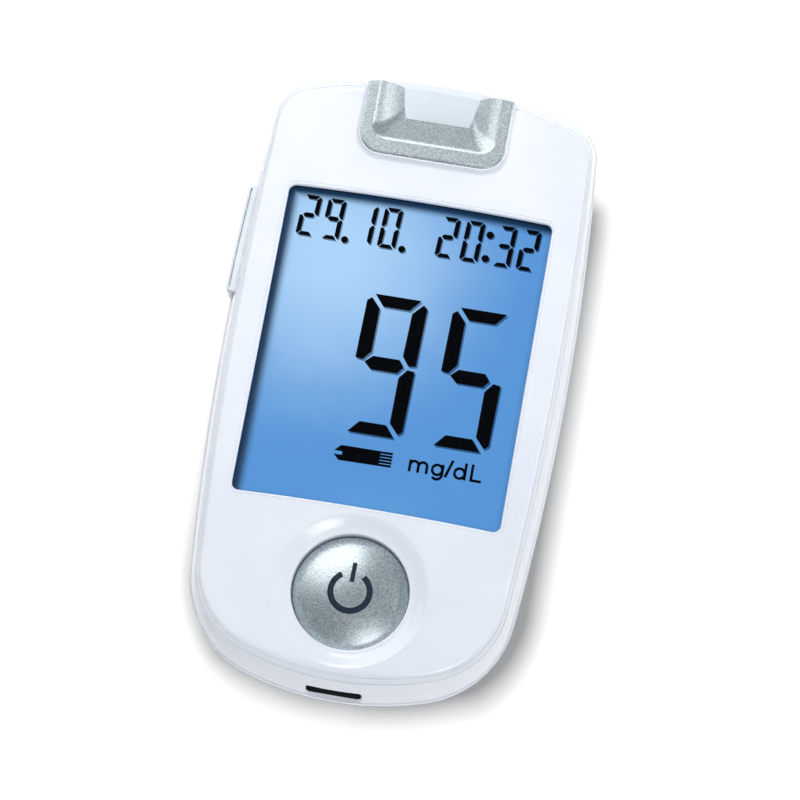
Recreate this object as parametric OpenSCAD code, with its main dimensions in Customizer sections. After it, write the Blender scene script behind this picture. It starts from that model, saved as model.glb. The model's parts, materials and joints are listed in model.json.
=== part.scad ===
// Blood glucose meter: a clamshell housing with a large display, a domed power
// button in a dish, a funnel-shaped test-strip port, a side rocker and a
// sliding battery door. X is across, Y runs towards the strip port and Z is up
// from the flat back. The origin is in the middle of the back face.

/* [Housing] */
// Widest width of the housing, without the side rocker
body_width = 60; // [58:0.5:66]
// Length of the housing
body_length = 111; // [108:0.5:120]
// Height of the flat face above the back
face_height = 21; // [20.5:0.25:24]
// Height of the parting line between the two shells
parting_height = 13.6; // [13.2:0.1:14]
// Wall thickness of both shells
wall = 1.8; // [1.5:0.1:2]
// Thickness of the face plate
face_plate = 1.6; // [1.4:0.1:1.8]
// Thickness of the back
back_plate = 1.6; // [1.5:0.1:1.8]

/* [Display] */
// From the display opening to the widest side of the housing
display_border = 7.05; // [6.5:0.05:10]
// From the display opening to the dish round the button
display_gap = 1; // [0.8:0.05:5]
// From the display opening to the strip port
port_gap = 7.05; // [7:0.05:14]
// Thickness of the clear window
lens_thickness = 1; // [0.8:0.1:1.1]
// Thickness of each display glass
glass_thickness = 1; // [0.7:0.1:1.1]

/* [Power button] */
// Diameter of the power button
button_diameter = 19.3; // [16:0.1:19.6]
// Width of the dish's ring round the button
dish_width = 3.4; // [2.6:0.1:3.8]
// From the dish to the foot end of the housing
dish_border = 4.4; // [3.4:0.05:6]
// Depth of the dish at the button
dish_depth = 1.1; // [0.6:0.1:1.3]
// Height of the button's crown above its rim
button_crown = 2.3; // [1.5:0.1:2.8]
// How far the button travels
button_travel = 0.4; // [0.2:0.05:0.45]

/* [Strip port] */
// Width of the silver port trim
port_width = 25.5; // [23:0.5:28]
// Length of the silver port trim along its middle
port_length = 13.95; // [13:0.05:15]
// Height of the port's rim above the face
port_rise = 1.2; // [0.8:0.1:1.6]
// Width of the strip slot at the mouth of the port
slot_width = 11.3; // [9:0.1:11.5]
// Height of the strip slot
slot_height = 1.1; // [0.8:0.1:1.2]

/* [Side rocker] */
// Length of the side rocker
rocker_length = 19.8; // [16:0.1:22]
// Height of the side rocker
rocker_height = 5; // [4:0.1:5.4]
// From the rocker's pivot to the top end of the housing
rocker_head = 34.3; // [32:0.1:38]
// How far the rocker stands out of the side
rocker_proud = 0.95; // [0.4:0.05:1.1]

/* [Power supply] */
// Diameter of an AAA cell
cell_diameter = 10.5; // [10:0.1:10.6]
// Length of an AAA cell with its button end
cell_length = 44.5; // [43.5:0.1:44.8]
// Thickness of the battery door
door_thickness = 1.5; // [1.2:0.1:1.5]
// Width of the battery door
door_width = 26; // [25.5:0.1:27]

/* [Electronics] */
// Thickness of the circuit board
board_thickness = 1; // [0.8:0.1:1.1]
// Width of the data socket's shell
usb_width = 7.5; // [7:0.1:8]
// Height of the data socket's shell
usb_height = 2.5; // [2.3:0.1:2.7]
// Width of the data socket's cut-out in the foot end
usb_slot_width = 9.3; // [9:0.1:10]

/* [Hidden] */

$fn = 48;
eps = 0.01;
// Gap between parts that seat on or slide past each other.
fit = 0.1;
// Gap round parts that must stay clear of each other.
clear = 0.3;

// ---- Places along the body ----------------------------------------------
half_width = body_width / 2;
half_length = body_length / 2;
button_radius = button_diameter / 2;
button_hole = button_radius + clear;
dish_radius = button_hole + dish_width;
button_y = dish_radius + dish_border - half_length;
port_setback = 2.9;
port_end = half_length - port_setback;
port_start = port_end - port_length;
// The ends of the display opening bow this far towards the port.
window_bow = 0.5;
window_foot = button_y + dish_radius + display_gap - window_bow;
window_head = port_start - port_gap - window_bow;
window_width = body_width - 2 * display_border;
window_length = window_head - window_foot;
window_y = (window_head + window_foot) / 2;
rocker_y = half_length - rocker_head;

// ---- Outlines -----------------------------------------------------------
// An outline is made of tangent arcs, symmetric about the Y axis. Its values:
// half width, Y of the widest place, side radius, top end, top radius,
// foot end, foot radius, top corner radius, foot corner radius.
WIDE = [half_width, 7, 460, half_length, 89.5, half_length, 50.5, 7.4, 17.9];
// How far the flat face lies inside the widest outline.
face_inset_side = 2.35;
face_inset_top = 5.5;
face_inset_foot = 3.85;
FACE = [half_width - face_inset_side, 14.2, 672, half_length - face_inset_top, 77,
        half_length - face_inset_foot, 52.5, 6.3, 14.3];

// Segments of the foot, foot corner, side, top corner and top arcs.
ARC_STEPS = [6, 9, 9, 8, 5];

// The meeting point of two circles that lies to the left of the way c1 to c2.
function meet(c1, r1, c2, r2) =
    let (v = c2 - c1, d = norm(v), a = (r1 * r1 - r2 * r2 + d * d) / (2 * d),
         h = sqrt(max(0, r1 * r1 - a * a)))
    c1 + v * (a / d) + [-v[1], v[0]] * (h / d);

function angle_to(c, p) = atan2(p[1] - c[1], p[0] - c[0]);

function arc_points(c, r, from, to, steps) =
    [for (i = [0 : steps - 1])
        let (a = from + (to - from) * i / steps) c + r * [cos(a), sin(a)]];

// Right half of an outline from the foot to the top, moved inwards by inset.
function half_outline(p, inset) =
    let (side = [p[0] - p[2], p[1]], top = [0, p[3] - p[4]], foot = [0, p[6] - p[5]],
         c_top = meet(side, p[2] - p[7], top, p[4] - p[7]),
         c_foot = meet(foot, p[6] - p[8], side, p[2] - p[8]),
         a_foot = angle_to(foot, c_foot), a_low = angle_to(side, c_foot),
         a_high = angle_to(side, c_top), a_top = angle_to(top, c_top))
    concat(
        arc_points(foot, p[6] - inset, -90, a_foot, ARC_STEPS[0]),
        arc_points(c_foot, p[8] - inset, a_foot, a_low, ARC_STEPS[1]),
        arc_points(side, p[2] - inset, a_low, a_high, ARC_STEPS[2]),
        arc_points(c_top, p[7] - inset, a_high, a_top, ARC_STEPS[3]),
        arc_points(top, p[4] - inset, a_top, 90, ARC_STEPS[4]),
        [[0, p[3] - inset]]);

function mirrored(half) =
    concat(half, [for (i = [len(half) - 2 : -1 : 1]) [-half[i][0], half[i][1]]]);

function outline(p, inset) = mirrored(half_outline(p, inset));

// A ring of the housing: how far it has turned from WIDE to FACE, its inset
// and its height.
function ring(turn, inset, z) =
    [for (q = outline(WIDE * (1 - turn) + FACE * turn, inset)) [q[0], q[1], z]];

function at_height(points, z) = [for (q = points) [q[0], q[1], z]];

// Rounded rectangle about the origin.
function round_rect(w, l, r) =
    [for (k = [0 : 3], i = [0 : 6])
        let (a = 90 * k + 15 * i,
             sx = (k == 0 || k == 3) ? 1 : -1, sy = (k < 2) ? 1 : -1)
        [sx * (w / 2 - r) + r * cos(a), sy * (l / 2 - r) + r * sin(a)]];

// A closed solid through rings of equal count. The first ring is closed by a
// cap that looks down, the last by one that looks up.
module stack(rings) {
    n = len(rings[0]);
    sides = [for (k = [0 : len(rings) - 2], i = [0 : n - 1])
        let (j = (i + 1) % n, a = k * n, b = a + n)
        each [[a + i, b + i, b + j], [a + i, b + j, a + j]]];
    first = [for (i = [0 : n - 1]) i];
    last = [for (i = [n : -1 : 1]) (len(rings) - 1) * n + i % n];
    polyhedron([for (r = rings) each r], concat(sides, [first, last]), convexity = 6);
}

module slab(w, l, z0, z1) {
    translate([-w / 2, -l / 2, z0]) cube([w, l, z1 - z0]);
}

module plate(w, l, r, z0, z1) {
    translate([0, 0, z0]) linear_extrude(z1 - z0) polygon(round_rect(w, l, r));
}

module post(x, y, r, z0, z1) {
    translate([x, y, z0]) cylinder(r = r, h = z1 - z0);
}

// ---- Battery compartment ------------------------------------------------
cell_radius = cell_diameter / 2;
cell_z = back_plate + 0.35 + cell_radius;
cell_x = cell_radius + 0.35;
bay_foot = 13.5 - half_length;
spring_length = 4.1;
plate_thickness = 0.4;
spring_wire = 0.28;
spring_base = 3.5;
spring_tip = 2.2;
bay_length = cell_length + spring_length + 2 * plate_thickness + 0.1;
bay_head = bay_foot + bay_length;
bay_half = 2 * cell_radius + 1.2;
bay_wall = 1.2;
bay_ceiling = cell_z + cell_radius + 0.3;
bay_top = bay_ceiling + 0.7;
door_head = bay_head + 2.4;
door_gap = 0.15;
rail = 0.8;
rail_thickness = 0.6;
tray_top = door_thickness + fit + 1.2;
grip_y = bay_foot - 2;
grip_width = 12;
grip_pitch = 1.5;

module door_profile(gap, z1) {
    // The plate, and the two rails that run in the housing's grooves.
    translate([-door_width / 2 - gap, -half_length - 5, -1])
        cube([door_width + 2 * gap, half_length + 5 + door_head + gap, 1 + z1]);
    translate([-door_width / 2 - rail - gap, -half_length - 5, door_thickness - rail_thickness - gap])
        cube([door_width + 2 * rail + 2 * gap, half_length + 5 + door_head + gap,
              z1 - door_thickness + rail_thickness + gap]);
}

// ---- Heights of the inner stack -----------------------------------------
ceiling = face_height - face_plate;
// The clear window sits in a pocket behind the face.
pocket_top = face_height - 0.8;
adhesive = 0.15;
lens_top = pocket_top - adhesive;
lens_bottom = lens_top - lens_thickness;
gasket = 0.3;
glass_top = lens_bottom - gasket;
glass_join = glass_top - glass_thickness;
glass_bottom = glass_join - glass_thickness;
board_bottom = bay_top + 0.15;
board_top = board_bottom + board_thickness;
reflector = 0.2;

// ---- Housing shells -----------------------------------------------------
// The side wall leans in up to the bevel, which leads to the flat face.
bevel_low = face_height - 1.4;
bevel_high = face_height - 0.3;
wide_top = parting_height + 1;
bevel_turn = 0.6;
tongue_height = 0.9;
tongue_outer = 0.95;
edge_break = 0.2;

function wall_turn(z) = bevel_turn * (z - wide_top) / (bevel_low - wide_top);

front_outer = [
    ring(0, edge_break, parting_height),
    ring(0, 0, parting_height + edge_break),
    ring(0, 0, wide_top),
    ring(bevel_turn / 2, -0.12, (wide_top + bevel_low) / 2),
    ring(bevel_turn, 0, bevel_low),
    ring(0.94, 0, bevel_high),
    ring(0.985, 0, face_height - 0.06),
    ring(1, 0.1, face_height)
];

lip_z = parting_height + tongue_height + fit;
front_inner = [
    ring(wall_turn(ceiling), wall, ceiling),
    ring(wall_turn((ceiling + lip_z) / 2), wall, (ceiling + lip_z) / 2),
    ring(0, wall, lip_z),
    ring(0, tongue_outer - fit, lip_z),
    ring(0, tongue_outer - fit, parting_height)
];

// Outer insets of the rear tub, from its rim down to the flat back.
TUB = [[0, parting_height - edge_break], [1, 10], [2.1, 6], [2.9, 3.2], [3.4, 1.8],
       [3.95, 0.75], [4.45, 0.2], [5, 0]];

rear_outer = [for (i = [len(TUB) - 1 : -1 : 0]) ring(0, TUB[i][0], TUB[i][1])];

rear_rim = [
    ring(0, edge_break, parting_height),
    ring(0, tongue_outer, parting_height),
    ring(0, tongue_outer, parting_height + tongue_height),
    ring(0, wall - fit / 2, parting_height + tongue_height),
    ring(0, wall, parting_height)
];

rear_inner = [
    ring(0, wall + 1, 10),
    ring(0, wall + 2.1, 6),
    ring(0, wall + 2.85, 3.4),
    ring(0, wall + 3.4, back_plate + 0.5),
    ring(0, wall + 4.2, back_plate)
];

module front_shell() {
    stack(concat(front_inner, front_outer));
}

module rear_shell() {
    stack(concat(rear_outer, rear_rim, rear_inner));
}

// ---- Housing fasteners --------------------------------------------------
foot_screw = [half_width - 9.5, 19.5 - half_length];
head_screw = [half_width - 9, half_length - 14];
SCREWS = [for (p = [foot_screw, head_screw], side = [1, -1]) [side * p[0], p[1]]];
boss_radius = 2.6;
screw_radius = 0.95;
boss_split = 7;
screw_seat = 4.5;
head_radius = 2;
head_height = 1.6;
screw_length = 8;
pilot_depth = 6.5;

module each_screw() {
    for (p = SCREWS) translate([p[0], p[1], 0]) children();
}

// ---- Display and window -------------------------------------------------
window_radius = 1.3;
window_ledge = 1.25;
window_chamfer = 0.35;
lens_width = window_width + 2 * window_ledge;
// The clear window and the glass stop short of the dish at their foot end.
lens_foot = window_foot - 0.85;
lens_head = window_head + window_bow + 1.1;
lens_length = lens_head - lens_foot;
lens_y = (lens_head + lens_foot) / 2;
glass_width = window_width + 2.5;
glass_foot = window_foot - 1.1;
// The ledge with the glass's contacts is at the top end.
ledge_length = 3;
glass_head = window_head + 1 + ledge_length;
frame_wall = 0.75;
guide_half = window_width / 2 - 0.05;
guide_length = glass_head - ledge_length - glass_foot - 0.6;
led_spread = 14;
led_size = [1, 3.2, 0.9];
zebra_width = 2;
zebra_trim = 2;

module at_window() {
    translate([0, window_y, 0]) children();
}

// The display opening, grown by a margin: round corners and bowed ends.
function window_outline(grow) =
    let (w = window_width / 2 + grow, l = window_length / 2 + grow, r = window_radius + grow,
         steps = 6,
         half = concat(
             [for (i = [0 : steps - 1]) [(w - r) * i / steps, -l]],
             [for (i = [0 : steps]) let (a = -90 + 90 * i / steps)
                 [w - r + r * cos(a), r - l + r * sin(a)]],
             [for (i = [0 : steps]) let (a = 90 * i / steps)
                 [w - r + r * cos(a), l - r + r * sin(a)]],
             [for (i = [steps - 1 : -1 : 0]) [(w - r) * i / steps, l]]))
    [for (q = mirrored(half)) [q[0], q[1] + window_bow * (1 - pow(q[0] / w, 2))]];

module window_hole(grow, z0, z1) {
    at_window() translate([0, 0, z0]) linear_extrude(z1 - z0) polygon(window_outline(grow));
}

module window_cut() {
    window_hole(0, pocket_top - 1, face_height + 1);
    at_window() stack([for (k = [[0, -window_chamfer - 0.1], [1, 0.02], [1, 1]])
        at_height(window_outline(window_chamfer * k[0]), face_height + k[1])]);
    translate([0, lens_y, 0])
        plate(lens_width + 2 * fit, lens_length + 2 * fit, 1, ceiling - 1, pocket_top);
}

// ---- Power button -------------------------------------------------------
dish_floor = face_height - dish_depth;
rim_drop = 1.9;
button_rim = dish_floor - rim_drop;
cup_bottom = button_rim - 0.7;
flange_radius = button_radius + 1.25;
flange_thickness = 0.75;
dome_radius = (pow(button_radius, 2) + pow(button_crown, 2)) / (2 * button_crown);
switch_top = board_top + 1.5;
plunger_top = switch_top + 0.55;
plunger_radius = 1;
stem_radius = 1.5;

module at_button() {
    translate([0, button_y, 0]) children();
}

// The dish is level round the button's hole, rises in a double curve and
// rounds over to the face. Its curve runs a little past the face.
dish_level = 0.45;
dish_past = 0.28;
dish_rise = dish_depth + 0.03;

module dish_cut() {
    steps = 12;
    sweep = dish_width - dish_level + dish_past;
    at_button() {
        rotate_extrude($fn = 96)
            polygon(concat(
                [[0, dish_floor], [button_hole, dish_floor]],
                [for (i = [0 : steps])
                    let (k = i / steps)
                    [button_hole + dish_level + sweep * k, dish_floor + dish_rise * k * k * (3 - 2 * k)]],
                [[dish_radius + dish_past, face_height + 1], [0, face_height + 1]]));
        translate([0, 0, cup_bottom - 1]) cylinder(r = button_hole, h = 6, $fn = 96);
    }
}

module button_cup() {
    at_button() rotate_extrude($fn = 96)
        polygon([[button_hole - 1, cup_bottom], [flange_radius + 0.5, cup_bottom],
                 [flange_radius + 0.8, ceiling - 0.4], [dish_radius + 0.6, ceiling],
                 [dish_radius + 0.6, ceiling + 0.5], [button_hole - 1, ceiling + 0.5]]);
}

// ---- Strip port ---------------------------------------------------------
port_top = face_height + port_rise;
port_bottom = 16.6;
port_corner = 4;
port_edge = 0.35;
port_half = port_width / 2;
port_floor = port_top - 3.5;
funnel_half = port_half - 1.95;
funnel_start = port_start + 2.85;
funnel_corner = 2.6;
funnel_lip = 0.45;
// How deep the rounding of the lip over the sloping wall reaches.
lip_depth = 0.3;
// The sloping wall of the funnel ends at the top edge of the slot.
slot_edge = funnel_start + 4.95;
slope = (port_top - port_floor - slot_height) / (slot_edge - funnel_start);
funnel_foot = slot_edge + slot_height / slope;
panel_half = slot_width / 2 + 1.15;
floor_flare = (panel_half - slot_width / 2) / (port_end - slot_edge);
pocket_half = panel_half + 0.4;
connector_start = port_start + 1.15;
connector_end = connector_start + 4.4;
connector_top = port_floor + 1.3;
connector_width = slot_width + 1.7;
// Across the connector: the places of its contacts.
CONTACTS = [-2.6, -1.3, 0, 1.3, 2.6];
// How far the trim's flange reaches under the face, and where the end wall of
// the housing stops below the panel.
port_flange = 1;
port_sill = port_floor - 0.5;

function port_end_y(x, inset) =
    port_end - WIDE[4] + sqrt(pow(WIDE[4] - inset, 2) - x * x);

// The trim's outline: round corners at its start, a gentle arc at its end.
function port_outline(half, start, r, inset) =
    let (w = half - inset)
    mirrored(concat(
        [[0, start + inset]],
        [for (i = [0 : 6]) let (a = -90 + 15 * i)
            [half - r + (r - inset) * cos(a), start + r + (r - inset) * sin(a)]],
        [for (i = [0 : 3]) let (x = w * (1 - i / 4)) [x, port_end_y(x, inset)]],
        [[0, port_end - inset]]));

// The funnel's outline, open at the end of the body.
function funnel_outline(half, start, r, end_half) =
    mirrored(concat(
        [[0, start]],
        [for (i = [0 : 6]) let (a = -90 + 15 * i)
            [half - r + r * cos(a), start + r + r * sin(a)]],
        [[end_half, port_end + 3], [0, port_end + 3]]));

module port_block(grow = 0, z0 = port_bottom, z1 = port_top) {
    stack([for (z = [z0, z1])
        at_height(port_outline(port_half, port_start, port_corner, -grow), z)]);
}

// Where the funnel's sloping wall starts at a depth below the port's rim.
function funnel_wall(depth) =
    depth > lip_depth ? funnel_start + depth / slope
    : funnel_start - funnel_lip + (funnel_lip + lip_depth / slope) * sqrt(depth / lip_depth);

// The strip's way in: straight up to the slot's edge, then flared as the panel is.
function strip_way() =
    let (half = slot_width / 2, end = funnel_foot + 0.2, end_half = half + (end - slot_edge) * floor_flare)
    [[half, connector_end - 0.5], [half, slot_edge], [end_half, end],
     [-end_half, end], [-half, slot_edge], [-half, connector_end - 0.5]];

// The side walls round down from the rim to the panel's edges.
module funnel() {
    foot_half = slot_width / 2 + (funnel_foot - slot_edge) * floor_flare;
    end_half = panel_half + 3 * floor_flare;
    depth = port_top - port_floor;
    steps = 10;
    stack(concat(
        [at_height(funnel_outline(foot_half, funnel_foot, 0.3, end_half), port_floor - 0.6)],
        [for (i = [steps : -1 : 0])
            let (a = 90 * i / steps, k = sin(a), r = funnel_corner * (1 - k) + 0.3 * k)
            at_height(funnel_outline(funnel_half + (foot_half - funnel_half) * k,
                                     funnel_wall(depth * (1 - cos(a))), r,
                                     funnel_half + (end_half - funnel_half) * k),
                      port_top + eps - (depth + eps) * (1 - cos(a)))],
        [at_height(funnel_outline(funnel_half, funnel_wall(0), funnel_corner, funnel_half),
                   port_top + 1)]));
}

module port_notch() {
    port_block(fit, port_bottom, face_height + 3);
    translate([-port_half - fit, port_end - 4, port_sill])
        cube([port_width + 2 * fit, 12, 8]);
}

// ---- Side rocker --------------------------------------------------------
rocker_x = -(half_width - 3.6);
rocker_back = rocker_x - 0.8;
rocker_z = parting_height + 0.7;
pin_radius = 0.6;
pin_bore = pin_radius + 0.04;
hub_radius = 1.15;
lug_low = rocker_z - 2.8;
lug_high = rocker_z + 2.8;
switch_pitch = 14;
switch_z = board_bottom - 0.95;
switch_face = rocker_x + 1.5;

function side_x(y) = WIDE[0] - WIDE[2] + sqrt(pow(WIDE[2], 2) - pow(y - WIDE[1], 2));

// Plan of the rocker, with round outer corners and a bowed outer face.
function rocker_face(y) = -(side_x(y) + rocker_proud);

function rocker_outline(inset) =
    let (low = rocker_y - rocker_length / 2, high = rocker_y + rocker_length / 2, r = 1)
    concat(
        [[rocker_back - inset, low + inset], [rocker_back - inset, high - inset]],
        [for (i = [0 : 4]) let (a = 90 + 22.5 * i)
            [rocker_face(high - r) + r + (r - inset) * cos(a), high - r + (r - inset) * sin(a)]],
        [for (t = [0.75, 0.5, 0.25]) let (y = low + rocker_length * t) [rocker_face(y) + inset, y]],
        [for (i = [0 : 4]) let (a = 180 + 22.5 * i)
            [rocker_face(low + r) + r + (r - inset) * cos(a), low + r + (r - inset) * sin(a)]]);

module rocker_slot() {
    translate([-half_width - 3, rocker_y - rocker_length / 2 - clear,
               rocker_z - rocker_height / 2 - fit * 2])
        cube([6.8, rocker_length + 2 * clear, rocker_height + 4 * fit]);
}

module rocker_lug(z0, z1, reach) {
    difference() {
        translate([rocker_x - reach, rocker_y - 1.6, z0]) cube([reach + 1.2, 3.2, z1 - z0]);
        post(rocker_x, rocker_y, pin_bore, lug_low - 1.5, lug_high + 1.5);
    }
}

// ---- Data socket --------------------------------------------------------
usb_slot_low = board_top;
usb_slot_high = usb_slot_low + 2.3;
usb_mouth = 2.4 - half_length;
usb_depth = 4.5;
usb_shell = 0.3;
liner_floor = 0.3;
liner_side = 0.35;

module usb_slot() {
    translate([-usb_slot_width / 2, -half_length - 2, usb_slot_low])
        cube([usb_slot_width, wall + 2.6, usb_slot_high - usb_slot_low]);
    // Room for the socket's shell behind the wall.
    translate([-usb_width / 2 - fit, usb_mouth - fit, board_top - fit])
        cube([usb_width + 2 * fit, 3, usb_height + 2 * fit]);
}

// Posts of the rear shell under the circuit board.
post_radius = 1.4;
BOARD_POSTS = [
    for (p = [[half_width - 11, bay_head + 5.5], [12, half_length - 11.5],
              [half_width - 10, bay_foot + 20]], side = [1, -1])
        [side * p[0], p[1]]
];

// Pieces on the back of the board, between the cells and the strip port.
parts_y = (bay_head + port_start) / 2;
controller_place = [2, parts_y + 0.9];
controller_size = [10, 10, 1.3];
memory_place = [-13, parts_y + 9.9];
memory_size = [3.9, 4.9, 1.4];
crystal_place = [15, parts_y + 1.9];
crystal_size = [3.6, 9, 2.4];
passive_size = [0.8, 1.6, 0.6];
passive_pitch = 3.4;
passive_reach = 9.5;

// ---- Sub-parts ----------------------------------------------------------
module front_housing() {
    color("white") difference() {
        union() {
            front_shell();
            button_cup();
            each_screw() translate([0, 0, boss_split])
                cylinder(r = boss_radius, h = ceiling + 0.5 - boss_split);
            rocker_lug(lug_high, ceiling + 0.5, 1.5);
        }
        window_cut();
        dish_cut();
        port_notch();
        rocker_slot();
        usb_slot();
        each_screw() translate([0, 0, boss_split - 1])
            cylinder(r = screw_radius + 0.03, h = pilot_depth + 1);
        post(rocker_x, rocker_y, pin_bore, lug_high - 1, lug_high + 1.5);
    }
}

module rear_housing() {
    color("white") difference() {
        union() {
            rear_shell();
            intersection() {
                stack(rear_outer);
                translate([0, (door_head + 1.7 - half_length) / 2, 0])
                    slab(door_width + 4.4, door_head + 1.7 + half_length, door_thickness + fit,
                         tray_top);
            }
            translate([-bay_half - bay_wall, bay_foot - bay_wall, door_thickness + fit])
                cube([2 * (bay_half + bay_wall), bay_length + 2 * bay_wall,
                      bay_top - door_thickness - fit]);
            each_screw() translate([0, 0, 0.8]) cylinder(r = boss_radius + 0.5, h = boss_split - 0.8);
            for (p = BOARD_POSTS) post(p[0], p[1], post_radius, 1, board_bottom);
            rocker_lug(lug_low - 2.5, lug_low, 1.5);
        }
        door_profile(door_gap, door_thickness + fit);
        translate([-bay_half, bay_foot, -1]) cube([2 * bay_half, bay_length, bay_ceiling + 1]);
        rocker_slot();
        each_screw() {
            translate([0, 0, -1]) cylinder(r = head_radius + 0.2, h = screw_seat + 1);
            translate([0, 0, screw_seat - 1]) cylinder(r = screw_radius + 0.2, h = boss_split);
        }
        post(rocker_x, rocker_y, pin_bore, lug_low - 1.5, lug_low + 1);
    }
}

module battery_door() {
    color("white") difference() {
        intersection() {
            stack(rear_outer);
            door_profile(0, door_thickness);
        }
        for (i = [0 : 4])
            translate([-grip_width / 2, grip_y - i * grip_pitch, -1]) cube([grip_width, 0.8, 1.4]);
    }
}

module display_window() {
    color("lightblue", 0.4) translate([0, lens_y, 0])
        plate(lens_width, lens_length, 1, lens_bottom, lens_top);
}

// A flat frame round the display opening.
module window_frame(trim, grow, z0, z1) {
    difference() {
        translate([0, lens_y, 0])
            plate(lens_width - 2 * trim, lens_length - 2 * trim, 1, z0, z1);
        window_hole(grow, z0 - 1, z1 + 1);
    }
}

module window_adhesive() {
    color("dimgray") window_frame(0, 0.3, lens_top, pocket_top);
}

module display_gasket() {
    color("black") window_frame(0.2, 0.2, glass_top, lens_bottom);
}

module glass_plate(z0, z1, head) {
    translate([-glass_width / 2, glass_foot, z0]) cube([glass_width, head - glass_foot, z1 - z0]);
}

module lcd_front_glass() {
    color("cornflowerblue") glass_plate(glass_join, glass_top, glass_head);
}

module lcd_rear_glass() {
    color("steelblue") glass_plate(glass_bottom, glass_join, glass_head - ledge_length);
}

module lcd_frame() {
    color("whitesmoke") difference() {
        translate([-glass_width / 2 - fit - frame_wall, glass_foot - fit - frame_wall, board_top])
            cube([glass_width + 2 * (fit + frame_wall),
                  glass_head - glass_foot + 2 * (fit + frame_wall), glass_top - 0.05 - board_top]);
        translate([-glass_width / 2 - fit, glass_foot - fit, board_top - 1])
            cube([glass_width + 2 * fit, glass_head - glass_foot + 2 * fit, 8]);
        // Clears the cup round the button where the dish is narrow.
        at_button() post(0, 0, flange_radius + 0.5 + clear, cup_bottom - clear, glass_top + 1);
    }
}

module guide_block(z0, z1) {
    translate([-guide_half, glass_foot + 0.2, z0])
        cube([2 * guide_half, guide_length, z1 - z0]);
}

module backlight_guide() {
    color("aliceblue") guide_block(board_top + reflector, glass_bottom - 0.05);
}

module reflector_sheet() {
    color("white") guide_block(board_top, board_top + reflector);
}

module backlight_leds() {
    color("lightyellow") for (side = [-1, 1], along = [-1, 1])
        translate([side * (guide_half + fit + led_size[0] / 2), window_y + along * led_spread, 0])
            slab(led_size[0], led_size[1], board_top, board_top + led_size[2]);
}

module zebra_strip() {
    color("darkgray") translate([0, glass_head - ledge_length + 0.5 + zebra_width / 2, 0])
        slab(window_width - 2 * zebra_trim, zebra_width, board_top, glass_join);
}

module main_board() {
    color("darkgreen") difference() {
        translate([0, 0, board_bottom]) linear_extrude(board_thickness)
            polygon(outline(WIDE, wall + 1.2));
        each_screw() translate([0, 0, board_bottom - 1]) cylinder(r = boss_radius + clear, h = 3);
        translate([-half_width - 1, rocker_y - rocker_length / 2 - 1.3, board_bottom - 1])
            cube([half_width + 1 + rocker_x + 1.4, rocker_length + 2.6, 3]);
    }
}

// A chip under the board: its body, and gull-wing legs along both long sides.
module chip(place, size, legs) {
    translate([place[0], place[1], 0]) {
        slab(size[0], size[1], board_bottom - size[2], board_bottom - 0.1);
        for (side = [-1, 1], i = [0 : legs - 1])
            translate([side * (size[0] / 2 + 0.35), (i - (legs - 1) / 2) * size[1] / (legs + 1), 0])
                slab(0.7, 0.3, board_bottom - 0.25, board_bottom);
    }
}

module controller_chip() {
    color("#202225") chip(controller_place, controller_size, 9);
}

module memory_chip() {
    color("#202225") chip(memory_place, memory_size, 4);
}

module crystal() {
    color("silver") translate([crystal_place[0], crystal_place[1], 0])
        plate(crystal_size[0], crystal_size[1], 1.7, board_bottom - crystal_size[2], board_bottom);
}

module board_passives() {
    color("tan") for (i = [0 : 3], side = [-1, 1])
        translate([controller_place[0] + side * passive_reach,
                   controller_place[1] + (i - 1.5) * passive_pitch, 0])
            slab(passive_size[0], passive_size[1], board_bottom - passive_size[2], board_bottom);
}

module strip_port_trim() {
    color("silver") difference() {
        union() {
            stack([
                at_height(port_outline(port_half, port_start, port_corner, 0), port_bottom),
                at_height(port_outline(port_half, port_start, port_corner, 0),
                          port_top - port_edge),
                at_height(port_outline(port_half, port_start, port_corner, port_edge * 0.3),
                          port_top - port_edge * 0.3),
                at_height(port_outline(port_half, port_start, port_corner, port_edge), port_top)
            ]);
            intersection() {
                port_block(port_flange, ceiling - 1.05, ceiling - 0.05);
                slab(100, 2 * (port_end - 3.1), 0, 40);
            }
        }
        funnel();
        // Pocket for the panel, hollow for the connector and the strip's way in.
        translate([-pocket_half, port_start + 0.55, port_bottom - 1])
            cube([2 * pocket_half, 20, port_floor + fit / 2 - port_bottom + 1]);
        translate([-connector_width / 2 - 0.4, port_start + 0.65, port_floor - 1])
            cube([connector_width + 0.8, connector_end - port_start - 0.45,
                  connector_top + 1.2 - port_floor]);
        translate([0, 0, port_floor - 0.5]) linear_extrude(slot_height + 0.5)
            polygon(strip_way());
    }
}

module strip_port_panel() {
    color("gainsboro") intersection() {
        translate([-pocket_half + fit, connector_end + clear, port_bottom + 0.05])
            cube([2 * (pocket_half - fit), 20, port_floor - port_bottom - 0.05]);
        port_block(0, port_bottom, port_floor);
    }
}

module strip_connector() {
    color("black") difference() {
        translate([-connector_width / 2, connector_start, board_top])
            cube([connector_width, connector_end - connector_start, connector_top - board_top]);
        translate([-4, connector_start + 0.8, port_floor])
            cube([8, 10, 0.75]);
        for (x = CONTACTS) translate([x - 0.45, connector_start - 1, port_floor + 0.35])
            cube([0.9, 10, 0.7]);
    }
}

// Spring leaves that press on the strip, with tails down to the board.
module strip_contacts() {
    leaf = [[connector_start - 0.35, board_top], [connector_start - 0.15, board_top],
            [connector_start - 0.15, port_floor + 0.72], [connector_start + 1.4, port_floor + 0.72],
            [connector_start + 3.2, port_floor + 0.42], [connector_start + 4, port_floor + 0.72],
            [connector_start + 4, port_floor + 0.92], [connector_start + 3.2, port_floor + 0.62],
            [connector_start + 1.4, port_floor + 0.92], [connector_start - 0.35, port_floor + 0.92]];
    color("gold") for (x = CONTACTS)
        translate([x - 0.3, 0, 0]) rotate([90, 0, 90]) linear_extrude(0.6) polygon(leaf);
}

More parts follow.
